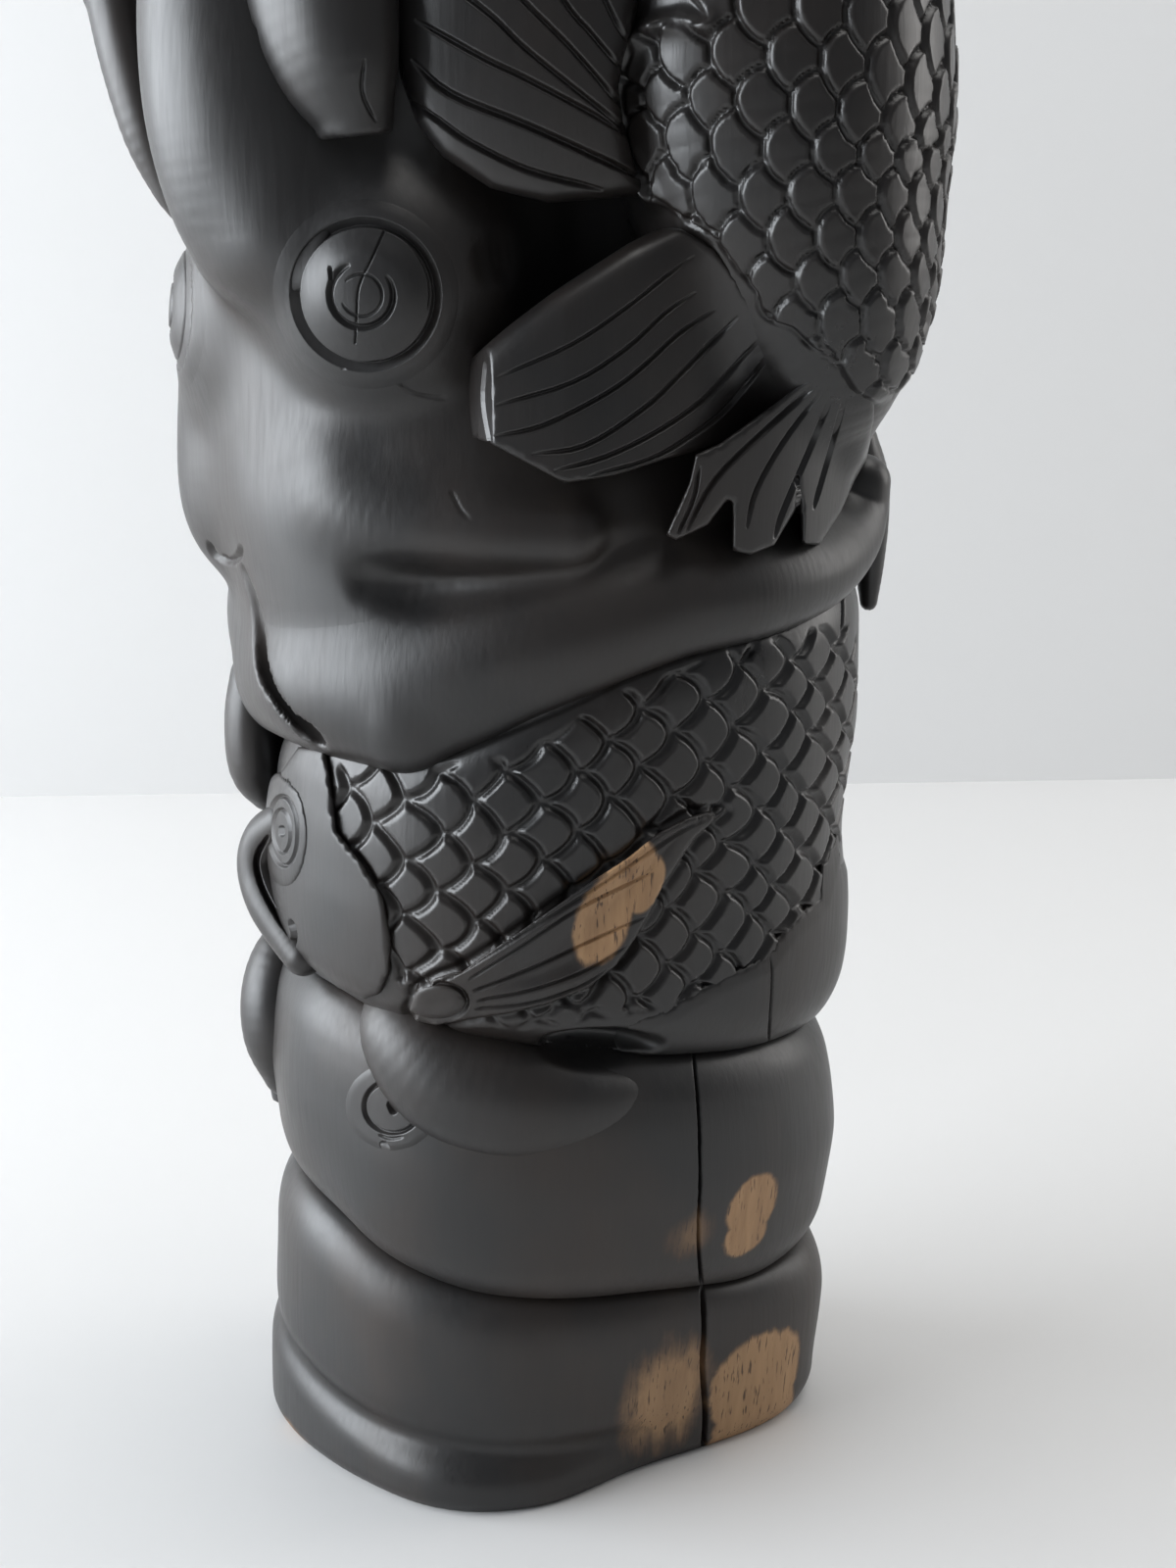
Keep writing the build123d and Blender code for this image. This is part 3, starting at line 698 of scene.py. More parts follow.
def f_blunt(p):
    f = tube(p, [(-62.3, 12.0, 175.1, 8.0), (-63.4, 10.0, 167.7, 8.0), (-63.1, 10.0, 157.6, 8.0), (-61.2, 12.0, 151.4, 6.0)], flat=0.8)
    return smin(f, tube(p, [(-58.9, 24.0, 166.7, 8.0), (-58.8, 24.0, 157.5, 8.5), (-58.7, 24.0, 148.2, 7.0)]), 2)


# ---- big head ---------------------------------------------------------------------------------------------
HEAD = Rtab(PH, {
    160: [59, 60, 61, 57, 57, 57, 57, 56, 55, 55, 55, 56, 58, 61, 65, 69, 67, 62],
    180: [62, 64, 66, 62, 62, 62, 62, 60, 57, 55, 55, 55, 57, 60, 64, 68, 68, 63],
    200: [64, 66, 68, 65, 65, 65, 64, 61, 57, 54, 54, 55, 57, 60, 64, 68, 69, 65],
    220: [66, 68, 70, 70, 69, 68, 66, 62, 58, 55, 53, 52, 54, 58, 62, 66, 69, 67],
    240: [66, 68, 71, 70, 69, 67, 63, 58, 53, 48, 45, 44, 47, 52, 58, 62, 68, 68],
    262: [66, 68, 71, 70, 69, 66, 62, 58, 50, 37, 30, 30, 34, 44, 54, 58, 66, 68],
    285: [64, 66, 68, 67, 66, 64, 61, 57, 48, 35, 29, 29, 32, 42, 52, 56, 64, 66],
    312: [62, 64, 66, 66, 66, 64, 61, 57, 50, 38, 32, 31, 34, 42, 52, 55, 62, 64]}, 5, 5)


def far(pts):
    """the same row of points on the other side of the big face"""
    out = []
    for q in pts:
        x, y, z = q[0], q[1] - AY, q[2]
        ph, rho = math.degrees(math.atan2(x, -y)), math.hypot(x, y)
        m = 2 * math.degrees(FACE) - ph
        m = (m + 180) % 360 - 180
        rr = HEAD(np.array([ph, m]), np.array([z, z]))
        out.append(pt(m, rho + rr[1] - rr[0], z) + tuple(q[3:]))
    return out


LIPC = [(-52.8, 0.0, 178.8, 12.0), (-43.3, -18.2, 182.0, 14.0), (-33.3, -26.5, 183.4, 16.0), (-19.7, -33.5, 185.7, 16.5), (-4.6, -38.5, 192.4, 14.0), (11.0, -38.5, 196.8, 12.0), (26.7, -33.8, 201.0, 11.0), (42.9, -25.0, 202.7, 10.5), (56.5, -11.8, 204.5, 9.5), (64.8, 1.5, 208.2, 8.5), (68.3, 8.0, 214.0, 7.5), (70.2, 8.0, 219.9, 6.0)]
LIPF = far(LIPC[:-3])
NOSE = [(-57.3, -0.8, 250.1, 15.0), (-59.8, 7.5, 235.1, 16.0), (-61.2, 8.0, 222.4, 15.5), (-62.0, 7.2, 215.1, 13.5), (-63.1, 6.0, 209.4, 8.5)]
HOL = [(-31.1, -47.5, 208.2, 6.0), (-22.1, -49.2, 207.9, 8.5), (-7.8, -51.0, 207.8, 8.5), (6.3, -50.2, 209.4, 7.0), (18.6, -47.2, 212.3, 5.5), (28.1, -44.0, 214.5, 4.5)]
CH = [(-2.1, -48.0, 269.2, 8.0), (6.4, -43.8, 270.8, 12.0), (16.5, -42.0, 272.9, 12.0), (25.0, -41.2, 275.4, 8.0)]


def f_fluke_far(p):
    return tube(p, [(-46.0, -38.0, 352.0, 17.0), (-58.4, -24.0, 332.0, 15.5), (-62.4, -26.0, 317.8, 13.5), (-62.6, -28.0, 305.3, 13.5), (-61.3, -30.0, 293.6, 13.5), (-59.8, -31.0, 281.8, 11.5), (-57.9, -31.0, 272.7, 8.0)], flat=0.85)


def web(p):
    """the brow running up between the two flukes"""
    return tube(p, [(-52.0, -22.0, 332.2, 14.0), (-52.0, -25.0, 319.7, 14.5), (-51.0, -28.0, 305.3, 15.0), (-48.2, -30.0, 292.7, 16.0), (-45.5, -31.0, 281.8, 16.5), (-44.7, -32.0, 272.7, 16.0)])


FOLD = [(-60.4, -19.5, 204.9, 1.4), (-58.5, -21.2, 199.9, 2.3), (-56.8, -22.5, 193.0, 2.8), (-54.0, -25.2, 186.4, 3.2), (-49.4, -30.0, 180.9, 3.2), (-43.3, -35.8, 174.9, 2.8)]


def f_face(p):
    """cheeks, brow, nose, lips and mouth hollow in one skin"""
    rho, ph = polar(p)
    z = p[:, 2]
    f = (rho - HEAD(ph, z)) * 0.85
    zu = SEAM3(ph)
    f = smax(f, zu + 2 - z, 8)
    f = smax(f, z - 308, 10)
    f = smin(f, tube(p, NOSE), 14)
    f = smin(f, web(p), 14)
    f = smin(f, ell(p, (-26.6, -27.2, 263.6), (26.0, 26.0, 28.0)), 7)
    f = smin(f, ell(p, (-56.5, -2.0, 257.0), (17.0, 20.0, 22.0)), 10)
    f = smax(f, -tube(p, HOL), 5)
    f = smax(f, -tube(p, far(HOL[2:-1])), 5)
    ln = tube(p, LIPC, n=12)
    lf = tube(p, LIPF, n=8)
    f = smin(f, smin(ln, lf, 4.0), 8)
    f = smin(f, tube(p, [(-37.1, -31.8, 229.3, 8.0), (-33.9, -34.8, 221.6, 9.0), (-23.5, -39.8, 218.1, 7.5), (-8.1, -43.0, 217.0, 7.0), (7.2, -43.5, 216.3, 6.0)]), 10)
    f = smin(f, tube(p, [(24.7, -31.8, 206.8, 8.0), (34.8, -27.2, 207.5, 9.0), (47.4, -18.0, 207.5, 9.0), (58.7, -4.5, 209.1, 8.0)]), 2.5)
    f = smax(f, -tube(p, CH), 3)
    # the cleft where the near jowl overlaps the far one
    return smax(f, -tube(p, FOLD), 1.6)


def f_skin(p):
    """the face with the far fluke flowing into its brow"""
    fl = f_fluke_far(p)
    return smin(f_face(p), fl, 16)


def d_fluke(p):
    fl = f_fluke_far(p)
    return smax(268 - p[:, 2] + 0.25 * (p[:, 0] + 50), fl - 9, 4)


def lip_region(p, pts):
    return tube(p, pts) - 2.5


def f_head(p):
    fl = f_fluke_far(p)
    fade = np.maximum(p[:, 2] - 276, 0) * 0.5
    f = smin(f_face(p), fl + fade, 16)
    f = f + pit(p, EYEN, 16.0, 16.0, 2.6)
    return f


def f_fluke_piece(p):
    return own(f_skin(p), d_fluke(p), 0.05, 7.0)


def f_lip_near(p):
    return own(f_skin(p) - 0.12, lip_region(p, LIPC), 0.06, 4.0)


def f_lip_far(p):
    return own(f_skin(p) - 0.12, lip_region(p, LIPF), 0.06, 4.0)


def f_eye_near(p):
    x, z = front(p)
    d = np.hypot(x - EYEN[0], z - EYEN[1]) - 17.5
    d = np.maximum(d, p[:, 1] - AY)
    bowl = np.hypot(x - EYEN[0], z - EYEN[1])
    return own(f_skin(p) - 0.15 - 0.9 * sstep(14.0, 8, bowl), d, 0.08, 3.0)


def ring2(c, r, a0, a1, st=12):
    return [(c[0] + r * math.cos(a), c[1] + r * math.sin(a)) for a in np.radians(np.arange(a0, a1 + 1, st))]


G_EYE = [[ring2(EYEN, 14.8, -180, 180), 1.15, 1.7, 0, 0],
         [ring2((EYEN[0] - 0.9, EYEN[1]), 6.6, -250, 45), 0.8, 1.1, 0.08, 0.15],
         [ring2((EYEN[0] - 0.9, EYEN[1]), 4.3, -160, 150), 0.4, 0.45, 0.1, 0.1],
         [[(-30.9, 273.1), (-33.6, 267.6), (-36.6, 261.6), (-37.2, 256.0), (-37.7, 250.0)], 0.28, 0.6, 0, 0],
         [[(EYEN[0] - 7.3, EYEN[1] + 6.0), (EYEN[0] - 7.0, EYEN[1] + 1.0)], 0.5, 0.8],
         [ring2((EYEN[0] + 2.0, EYEN[1] + 1.0), 11.6, -20, 52), 0.6, 0.6, 0.3, 0.3],
         [[(-40.8, 244.6), (-35.8, 245.6), (-31.7, 246.4)], 0.4, 0.5]]
FAR_EYE_C = pt(-80, 70, 258)


def f_eye_far(p):
    q = p - np.array(FAR_EYE_C)
    n = np.array([math.sin(math.radians(-80)), -math.cos(math.radians(-80)), 0.0])
    r = np.linalg.norm(q - (q @ n)[:, None] * n, axis=1)
    d = np.maximum(r - 14.5, -(q @ n) - 18)
    g = 1.5 * np.clip(1 - np.abs(r - 12.0) / 1.1, 0, 1) + 1.0 * np.clip(1 - np.abs(r - 5.2) / 0.8, 0, 1)
    return own(f_skin(p) - 0.15 - 0.7 * sstep(12, 7, r) + g, d, 0.06, 4.0)


G_HEAD = [[[(-37.7, 250.4), (-32.1, 245.6), (-26.5, 239.9), (-18.1, 238.5)], 0.28, 0.5],
          [[(-70.3, 208.4), (-68.9, 205.4), (-66.3, 204.0), (-63.9, 205.0), (-63.2, 207.5)], 0.8, 1.3],
          [[(-58.7, 314.6), (-56.8, 308.5), (-54.7, 301.9), (-49.5, 294.5)], 0.5, 0.7],
          [[(-67.0, 205.4), (-65.8, 204.2), (-64.4, 203.3)], 0.5, 0.8],
  
          [[(-18.2, 219.3), (-16.1, 215.1), (-14.1, 213.0)], 0.4, 0.5]]


def f_fluke_near(p):
    f = tube(p, [(-40.0, -40.0, 352.0, 17.0), (-39.2, -36.0, 330.8, 17.0), (-38.0, -41.0, 316.7, 15.5), (-35.8, -44.0, 306.2, 13.0), (-33.1, -45.0, 297.6, 9.0), (-32.1, -45.0, 292.4, 7.5)], flat=0.8)
    x, z = front(p)
    c = (-37.8, 291.4)
    return smax(f, (c[1] - z) * 0.95 + 0.1 * (x - c[0]), 1.2)


G_FLUKE = [[[(-56.6, 314.2), (-54.9, 306.6), (-50.8, 299.0)], 0.4, 0.5],
           [[(-56.1, 306.6), (-53.5, 300.6), (-48.9, 294.3)], 0.35, 0.4],
           [[(-34.2, 306.6), (-34.8, 300.0), (-32.2, 294.3)], 0.5, 0.7]]


FLIP_A = [(-80.0, -4.0, 352.0, 9.0), (-86.3, 8.0, 327.9, 9.0), (-84.4, 6.0, 318.4, 8.5), (-82.2, 4.0, 306.8, 8.0), (-78.9, 2.0, 293.3, 7.0), (-75.7, 1.0, 282.7, 4.5), (-73.7, 0.0, 277.4, 2.5)]


def f_flipper(p):
    # its inner half runs back into the body
    root = [(x + 10.0, y + 5.0, z, r) for x, y, z, r in FLIP_A[:-1]]
    deep = [(x + 20.0, y + 8.0, z, r) for x, y, z, r in FLIP_A[:-1]]
    return smin(smin(tube(p, FLIP_A, flat=0.8), tube(p, root, flat=0.8), 4), tube(p, deep, flat=0.9), 4)


# ---- top ------------------------------------------------------------------------------------------------------
CROWN = Rtab(PH, {
    288: [62, 65, 68, 66, 64, 62, 59, 55, 47, 34, 28, 28, 31, 42, 52, 55, 62, 64],
    318: [62, 66, 70, 69, 67, 64, 61, 56, 50, 38, 31, 30, 33, 42, 52, 55, 62, 64],
    350: [60, 64, 67, 67, 66, 64, 61, 57, 53, 46, 40, 38, 38, 42, 46, 50, 58, 60],
    385: [48, 52, 56, 58, 57, 55, 51, 47, 43, 39, 36, 34, 33, 33, 34, 36, 42, 46],
    404: [28, 32, 35, 37, 37, 36, 33, 30, 26, 23, 20, 18, 17, 17, 18, 20, 24, 26]}, 7, 6)
UPD = [(-42.0, -34.0, 342.0, 19.0), (-40.0, -26.0, 358.0, 23.0), (-34.0, -12.0, 376.0, 26.0), (-24.0, 2.0, 390.0, 26.0), (-12.0, 14.0, 400.0, 22.0)]


def f_crown(p):
    rho, ph = polar(p)
    z = p[:, 2]
    f = (rho - CROWN(ph, z)) * 0.8
    f = smax(smax(f, z - 402, 12), 286 - z, 2)
    f = smin(f, web(p), 12)
    f = smin(f, tube(p, UPD), 12)
    return smax(f, -tube(p, CH), 3)


UF = [(62.8, -15.0, 230.9, 6.5), (61.5, -17.0, 239.5, 11.5), (58.2, -19.0, 251.3, 20.0), (54.0, -18.0, 265.7, 28.0), (49.9, -16.0, 281.8, 33.5), (48.0, -14.0, 298.6, 36.8), (45.0, -12.0, 318.0, 37.5), (40.0, -9.0, 345.0, 35.0), (34.0, -5.0, 372.0, 30.5)]
UFC = crom(UF, 6)
FANU = [(29.1, 283.6), (19.1, 279.8), (2.9, 269.9), (-9.4, 258.0), (-16.9, 247.6), (-16.6, 237.8), (-13.8, 230.1), (-9.7, 229.2), (6.2, 220.7), (16.6, 222.4), (27.0, 225.7), (34.2, 227.6), (50.3, 231.7), (66.3, 235.8), (68.2, 239.9), (62.3, 246.8), (54.4, 250.8), (48.2, 253.2), (45.2, 258.4), (41.1, 264.0), (37.8, 268.4), (32.8, 272.7), (30.0, 277.4)]
FANT = [(43.2, 281.7), (35.2, 278.2), (29.6, 275.5), (19.1, 270.3), (3.3, 260.4), (-9.5, 251.4), (-15.7, 246.8), (-22.3, 219.3), (32.1, 198.2), (74.2, 198.2), (82.3, 260.0), (71.1, 289.4)]
FANL = [(68.5, 246.0), (59.1, 244.0), (48.1, 235.8), (39.0, 229.2), (33.8, 226.8), (32.6, 221.0), (27.7, 209.7), (29.8, 208.6), (36.5, 211.8), (40.6, 217.2), (41.7, 216.8), (42.0, 206.3), (45.8, 205.4), (50.8, 207.5), (55.2, 215.1), (55.7, 221.8), (56.7, 207.8), (60.5, 207.5), (64.9, 214.7), (67.6, 221.4), (69.9, 225.5), (71.5, 233.8), (71.2, 244.0)]
G_FANU = [[[(-8.5, 242.7), (7.5, 249.6), (18.8, 257.0), (27.1, 263.4), (33.1, 267.8)], 0.5, 0.8],
          [[(-8.6, 237.0), (7.5, 241.7), (18.8, 248.6), (27.1, 256.0), (33.6, 260.4)], 0.55, 0.9],
          [[(-9.1, 230.5), (1.7, 232.9), (14.9, 239.5), (22.5, 245.0), (30.0, 251.8), (37.7, 257.0)], 0.6, 1.0],
          [[(-1.0, 226.8), (10.4, 228.6), (22.6, 236.2), (30.1, 243.1), (42.4, 255.6)], 0.65, 1.0],
          [[(3.7, 223.2), (14.9, 226.3), (26.3, 231.9), (35.7, 238.5), (43.2, 246.8), (46.8, 250.6)], 0.65, 1.0],
          [[(11.0, 222.2), (23.5, 225.5), (32.7, 230.5), (41.3, 237.6), (50.5, 250.0)], 0.6, 0.9],
          [[(-10.5, 246.4), (-11.1, 237.8), (-9.7, 228.6)], 0.45, 0.7, 0.1, 0.1]]
G_FANL = [[[(59.1, 241.5), (48.2, 231.7), (38.0, 221.4), (31.9, 209.9)], 0.7, 1.1],
          [[(60.0, 239.9), (52.4, 229.6), (46.8, 219.3), (44.9, 210.9)], 0.6, 1.0],
          [[(62.5, 239.9), (58.6, 229.6), (52.7, 215.1), (50.8, 208.8)], 0.7, 1.1],
          [[(65.0, 238.9), (62.8, 229.6), (59.0, 215.1)], 0.6, 1.0],
          [[(34.7, 224.5), (33.5, 217.2), (30.3, 209.9)], 0.6, 1.0]]


def fan_top(ph, z):
    return 62.5 - 0.13 * np.maximum(ph - 6, 0) - 0.02 * (z - 245) + 1.5 * sstep(-15, 10, -ph)


def f_fan_up(p):
    x, z2 = front(p)
    rho, ph = polar(p)
    d = poly2(x, z2, FANU)
    f = rho - fan_top(ph, p[:, 2])
    f = smin(f, tube(p, UF[:6]) + 1.5, 12)
    f = smax(f, d * 0.9, 1.2)
    f = smax(f, poly2(x, z2, FANT) * 0.9, 12)
    c = (-9.6, 237.8)
    f = smax(f, (c[0] - x) * 0.95 + (rho - 62.5) * 0.4, 0.6)
    return smax(smax(f, 36 - rho, 1), p[:, 1] - 6, 1)


def f_fan_lo(p):
    x, z2 = front(p)
    rho, ph = polar(p)
    d = poly2(x, z2, FANL)
    f = rho - (61.5 + 0.16 * np.maximum(ph - 25, 0) + 0.06 * (p[:, 2] - 215))
    f = smin(f, tube(p, UF[:4]) + 1.5, 8)
    f = smax(f, d * 0.9, 1.4)
    return smax(smax(f, 36 - rho, 1), p[:, 1] - 8, 1)


SFIN = [(20.1, 312.3), (18.1, 306.6), (17.2, 300.9), (18.2, 293.9), (20.6, 286.0), (23.9, 279.2), (19.1, 279.6), (2.9, 278.4), (-9.1, 281.3), (-18.7, 287.5), (-24.0, 294.3), (-27.2, 302.9), (-28.2, 312.3), (-27.9, 325.4), (-22.1, 338.2), (-4.5, 345.5), (18.8, 341.9), (23.1, 329.1)]
G_SFIN = [[[(-24.0, 314.2), (-10.2, 306.8), (-0.9, 302.5), (16.6, 293.5), (23.0, 289.4)], 0.75, 1.2],
          [[(-24.9, 306.6), (-17.3, 300.0), (-1.0, 293.5), (19.0, 284.8), (23.9, 282.9)], 0.9, 1.6],
          [[(-25.5, 298.7), (-19.0, 294.3), (-12.8, 290.2), (-1.1, 284.8), (14.2, 280.9)], 0.8, 1.4],
          [[(-20.4, 323.5), (-8.7, 315.1), (-0.9, 308.0), (16.6, 294.6), (22.0, 290.4)], 0.7, 1.1],
          [[(-14.4, 330.9), (-2.0, 317.9), (7.2, 309.1), (16.6, 299.0), (21.0, 294.3)], 0.7, 1.1],
          [[(-4.6, 334.6), (6.1, 317.9), (11.8, 311.4), (18.6, 303.8)], 0.7, 1.1],
          [[(7.1, 338.2), (13.0, 321.7), (16.5, 314.2), (19.3, 309.5)], 0.7, 1.1],
          [[(18.8, 338.2), (19.8, 325.4), (21.9, 316.1)], 0.7, 1.1]]


def f_side_fin(p):
    x, z2 = front(p)
    d = poly2(x, z2, SFIN)
    a = ell(p, (-3.0, 2.0, 306.0), (46.0, 51.5, 74.0))
    f = smax(a, d * 0.9, 5.0)
    f = smax(f, -ell(p, (0.0, 2.0, 300.0), (34.0, 37.0, 60.0)), 3)
    return smax(f, p[:, 1] - 0, 2)


def uf_uv(p):
    """across and along the upper fish, unrolled, with the spine's radius"""
    c = UFC
    L = np.concatenate([[0], np.cumsum(np.linalg.norm(c[1:, :3] - c[:-1, :3], axis=1))])
    best = np.full(len(p), 1e9)
    par = np.zeros(len(p))
    for i in range(len(c) - 1):
        a, b_ = c[i, :3], c[i + 1, :3]
        ab = b_ - a
        t = np.clip(((p - a) @ ab) / (ab @ ab), 0, 1)
        dd = np.linalg.norm(p - a - t[:, None] * ab, axis=1)
        m = dd < best
        best[m] = dd[m]
        par[m] = L[i] + t[m] * (L[i + 1] - L[i])
    cx = np.interp(par, L, c[:, 0])
    cy = np.interp(par, L, c[:, 1])
    r = np.interp(par, L, c[:, 3])
    a = np.degrees(np.arctan2(p[:, 0] - cx, -(p[:, 1] - cy)))
    s = np.interp(par, [0, 25, 60, 90, 130], [0.62, 0.7, 0.88, 1.0, 1.05])
    vv = np.interp(par, L, np.concatenate([[0], np.cumsum((L[1:] - L[:-1]) / np.interp(0.5 * (L[1:] + L[:-1]), [0, 25, 60, 90, 130], [0.62, 0.7, 0.88, 1.0, 1.05]))]))
    return np.radians(a) * np.maximum(r, 10) / s, vv, a, par, s


UF_EDGE = [(35.5, 314.2), (30.8, 312.7), (24.4, 314.2), (18.9, 310.0), (16.6, 302.9), (17.4, 295.2), (19.6, 286.0), (22.5, 279.8), (31.2, 274.7), (35.7, 271.5), (39.0, 268.6), (41.9, 264.4), (45.8, 260.0), (46.5, 256.4), (48.4, 254.2), (53.5, 252.6), (58.1, 248.4), (62.3, 246.8), (67.0, 239.9), (73.9, 235.8), (93.4, 239.9), (102.7, 299.0), (104.3, 377.5), (60.3, 386.2), (26.3, 375.7), (28.7, 321.7)]
G_UF = [
[[(21.1, 309.9), (19.0, 302.3), (19.6, 293.7), (21.8, 285.4), (24.7, 280.3), (30.6, 274.7)], 0.6, 0.9, 0.1, 0.05],
        [[(30.6, 274.7), (35.7, 271.9), (38.8, 268.6), (41.7, 264.6), (45.8, 260.0), (46.3, 256.6), (48.4, 254.2), (53.5, 252.6), (57.7, 248.6), (61.8, 248.0)], 0.7, 1.1, 0.0, 0.1],
        [[(84.2, 272.7), (82.7, 260.0), (80.6, 251.0)], 0.6, 1.0]]


UF_RIM = [(35.1, 313.6), (28.8, 314.2), (22.5, 312.9), (18.9, 308.5), (17.4, 301.9), (18.0, 293.9), (20.6, 285.6), (23.9, 279.0)]


def f_ufish(p):
    f = tube(p, UF, flat=0.95)
    return f


def d_ufish(co, nr):
    u, v, a, par, s = uf_uv(co)
    g, t, gd = scales(u, v, (3.9, -10.4), (10.6, -2.2), (8.6, 7.4), (-0.83, 0.56), 0.95, 1.5, tilt=1.2, jit=0.4)
    x, z = front(co)
    m = poly2(x, z, UF_EDGE)
    fs = facing(co, nr) & (co[:, 1] < 12)
    k = np.where(fs, sstep(0.8, -1.2, m), sstep(14, 20, par))
    k = k * sstep(8, 14, par)
    rim = 2.2 * np.exp(-(segdist(x, z, UF_RIM)[0] / 1.9) ** 2) * fs
    return (g + t - 0.3) * s * k - 1.3 * (1 - k) * sstep(150, 80, par) + cuts(co, G_UF, fs) + rim


def f_ufish_head(p):
    f = tube(p, [(40.0, -6.0, 356.0, 30.0), (34.0, -4.0, 374.0, 30.0), (27.0, -3.0, 392.0, 25.0), (19.0, -3.0, 406.0, 17.5), (12.0, -3.0, 416.0, 11.0)], flat=0.95)
    f = smax(f, -tube(p, [(-6.0, -18.0, 420.0, 3.0), (12.0, -22.0, 411.0, 2.2), (24.0, -27.0, 402.0, 1.2)]), 1)
    return f


def f_dorsal(p):
    return tube(p, [(66.0, 18.0, 250.0, 7.0), (71.5, 20.0, 262.0, 10.0), (73.0, 21.0, 280.0, 11.5), (71.0, 22.0, 300.0, 10.5), (64.0, 23.0, 330.0, 9.0)], flat=0.7)


def f_rear(p):
    return tube(p, [(69.9, 22.0, 226.1, 6.5), (72.6, 24.0, 218.3, 6.5), (73.9, 25.0, 209.4, 5.5), (74.5, 26.0, 199.2, 4.0), (74.6, 26.0, 190.9, 2.5)], flat=0.8)


def f_ubeak(p):
    f = tube(p, [(-12.0, 14.0, 398.0, 20.0), (-24.0, 4.0, 407.0, 14.0), (-36.0, -6.0, 414.0, 8.5), (-47.0, -15.0, 419.0, 5.5)], flat=0.95)
    return f


def f_ueye(p):
    return ell(p, (42.0, -26.5, 388.0), (8.0, 7.0, 8.0))


H0 = 1.8
ONLY = None
OBJ = {}


def piece(node, f, lo, hi, h=None, sub=1, slot="wood_smooth", **kw):
    if ONLY and node not in ONLY:
        return None
    ob = make("carved_" + node, f, lo, hi, h or H0, sub=sub, **kw)
    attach(ob, "root")
    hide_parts(node)
    OBJ[node] = ob
    return ob


def with_cuts(lines):
    """finer mesh beside the cuts, then the cuts themselves"""
    return dict(refine=lambda co, lev: near_lines(co, lines, 1.2 - 0.5 * lev), levels=2,
                detail=lambda co, nr: cuts(co, lines, facing(co, nr)))



piece("base", f_base, (-72, -52, -3), (76, 80, 72), **with_cuts([CRACK_BASE]))
piece("lower_dolphin_body", f_dol, (-72, -54, 34), (76, 82, 126), **with_cuts([CRACK_DOL]))
piece("lower_dolphin_flipper", f_flip, (-62, -62, 84), (32, -10, 126))
piece("lower_dolphin_eye", f_dol_eye, (-46, -56, 82), (-16, -30, 112), h=1.2, **with_cuts(G_DOL_EYE))
piece("lower_dolphin_beak", f_beak, (-80, -30, 74), (-38, 44, 135))
piece("lower_fish_body", f_fish, (-72, -56, 88), (80, 84, 208), slot="wood_scaled", h=2.2, sub=2, detail=d_fish)
piece("lower_fish_cheek", f_cheek, (-72, -52, 112), (-26, 12, 172), h=1.3, **with_cuts(G_CHEEK[3:]))
piece("lower_fish_eye", f_fish_eye, (-68, -36, 134), (-42, 0, 160), h=0.9, **with_cuts(G_CHEEK[:3]))
piece("lower_fish_lips", f_fish_lips, (-76, -44, 112), (-40, 6, 160), h=1.2, **with_cuts(G_LIPS))
piece("lower_fish_pectoral_fin", f_pfin, (-36, -64, 104), (36, -20, 158), h=1.5, slot="wood_ribbed", **with_cuts(G_FIN))
piece("lower_fish_tail", f_belly, (6, -56, 92), (80, 84, 150), refine=lambda co, lev: near_lines(co, CRACK_FISH, 0.8), levels=2, detail=lambda co, nr: cuts(co, CRACK_FISH, facing(co, nr)))
piece("jaw_side_fin", f_blunt, (-76, -14, 140), (-40, 34, 190), slot="wood_ribbed")
piece("big_head", f_head, (-92, -74, 160), (84, 84, 312), refine=lambda co, lev: near_lines(co, G_HEAD, 0.9), levels=1, detail=lambda co, nr: cuts(co, G_HEAD, facing(co, nr)))
piece("big_head_lip_near", f_lip_near, (-66, -70, 164), (86, 14, 236), h=1.5)
piece("big_head_lip_far", f_lip_far, (-86, -46, 160), (-10, 84, 230))
piece("big_head_eye_near", f_eye_near, (-54, -72, 240), (-8, -30, 284), h=1.1, **with_cuts(G_EYE))
piece("big_head_eye_far", f_eye_far, (-92, -24, 238), (-48, 22, 280), h=1.1)
piece("fluke_near", f_fluke_near, (-76, -76, 276), (-8, 0, 376), **with_cuts(G_FLUKE))
piece("fluke_far", f_fluke_piece, (-98, -70, 250), (-26, 14, 376))
piece("far_flipper", f_flipper, (-104, -30, 262), (-58, 36, 366))
piece("upper_dolphin_body", f_crown, (-84, -68, 284), (70, 82, 428))
piece("upper_fish_body", f_ufish, (-6, -60, 212), (92, 50, 404), slot="wood_scaled", h=2.2, sub=2, detail=d_ufish)
piece("upper_fish_head", f_ufish_head, (-10, -50, 330), (84, 44, 430))
piece("upper_fish_eye", f_ueye, (30, -38, 376), (56, -14, 400), h=1.2)
piece("upper_fish_tail_upper", f_fan_up, (-30, -66, 218), (84, 10, 296), h=1.4, slot="wood_ribbed", **with_cuts(G_FANU))
piece("upper_fish_tail_lower", f_fan_lo, (10, -58, 202), (84, 12, 254), h=1.2, slot="wood_ribbed", **with_cuts(G_FANL))
piece("upper_fish_side_fin", f_side_fin, (-48, -62, 272), (50, 6, 364), slot="wood_ribbed", **with_cuts(G_SFIN))
piece("upper_fish_dorsal_fin", f_dorsal, (50, 4, 236), (90, 44, 346), slot="wood_ribbed")
piece("rear_fin", f_rear, (54, 8, 188), (84, 42, 242), slot="wood_ribbed")
piece("upper_dolphin_beak", f_ubeak, (-76, -40, 370), (16, 44, 430))
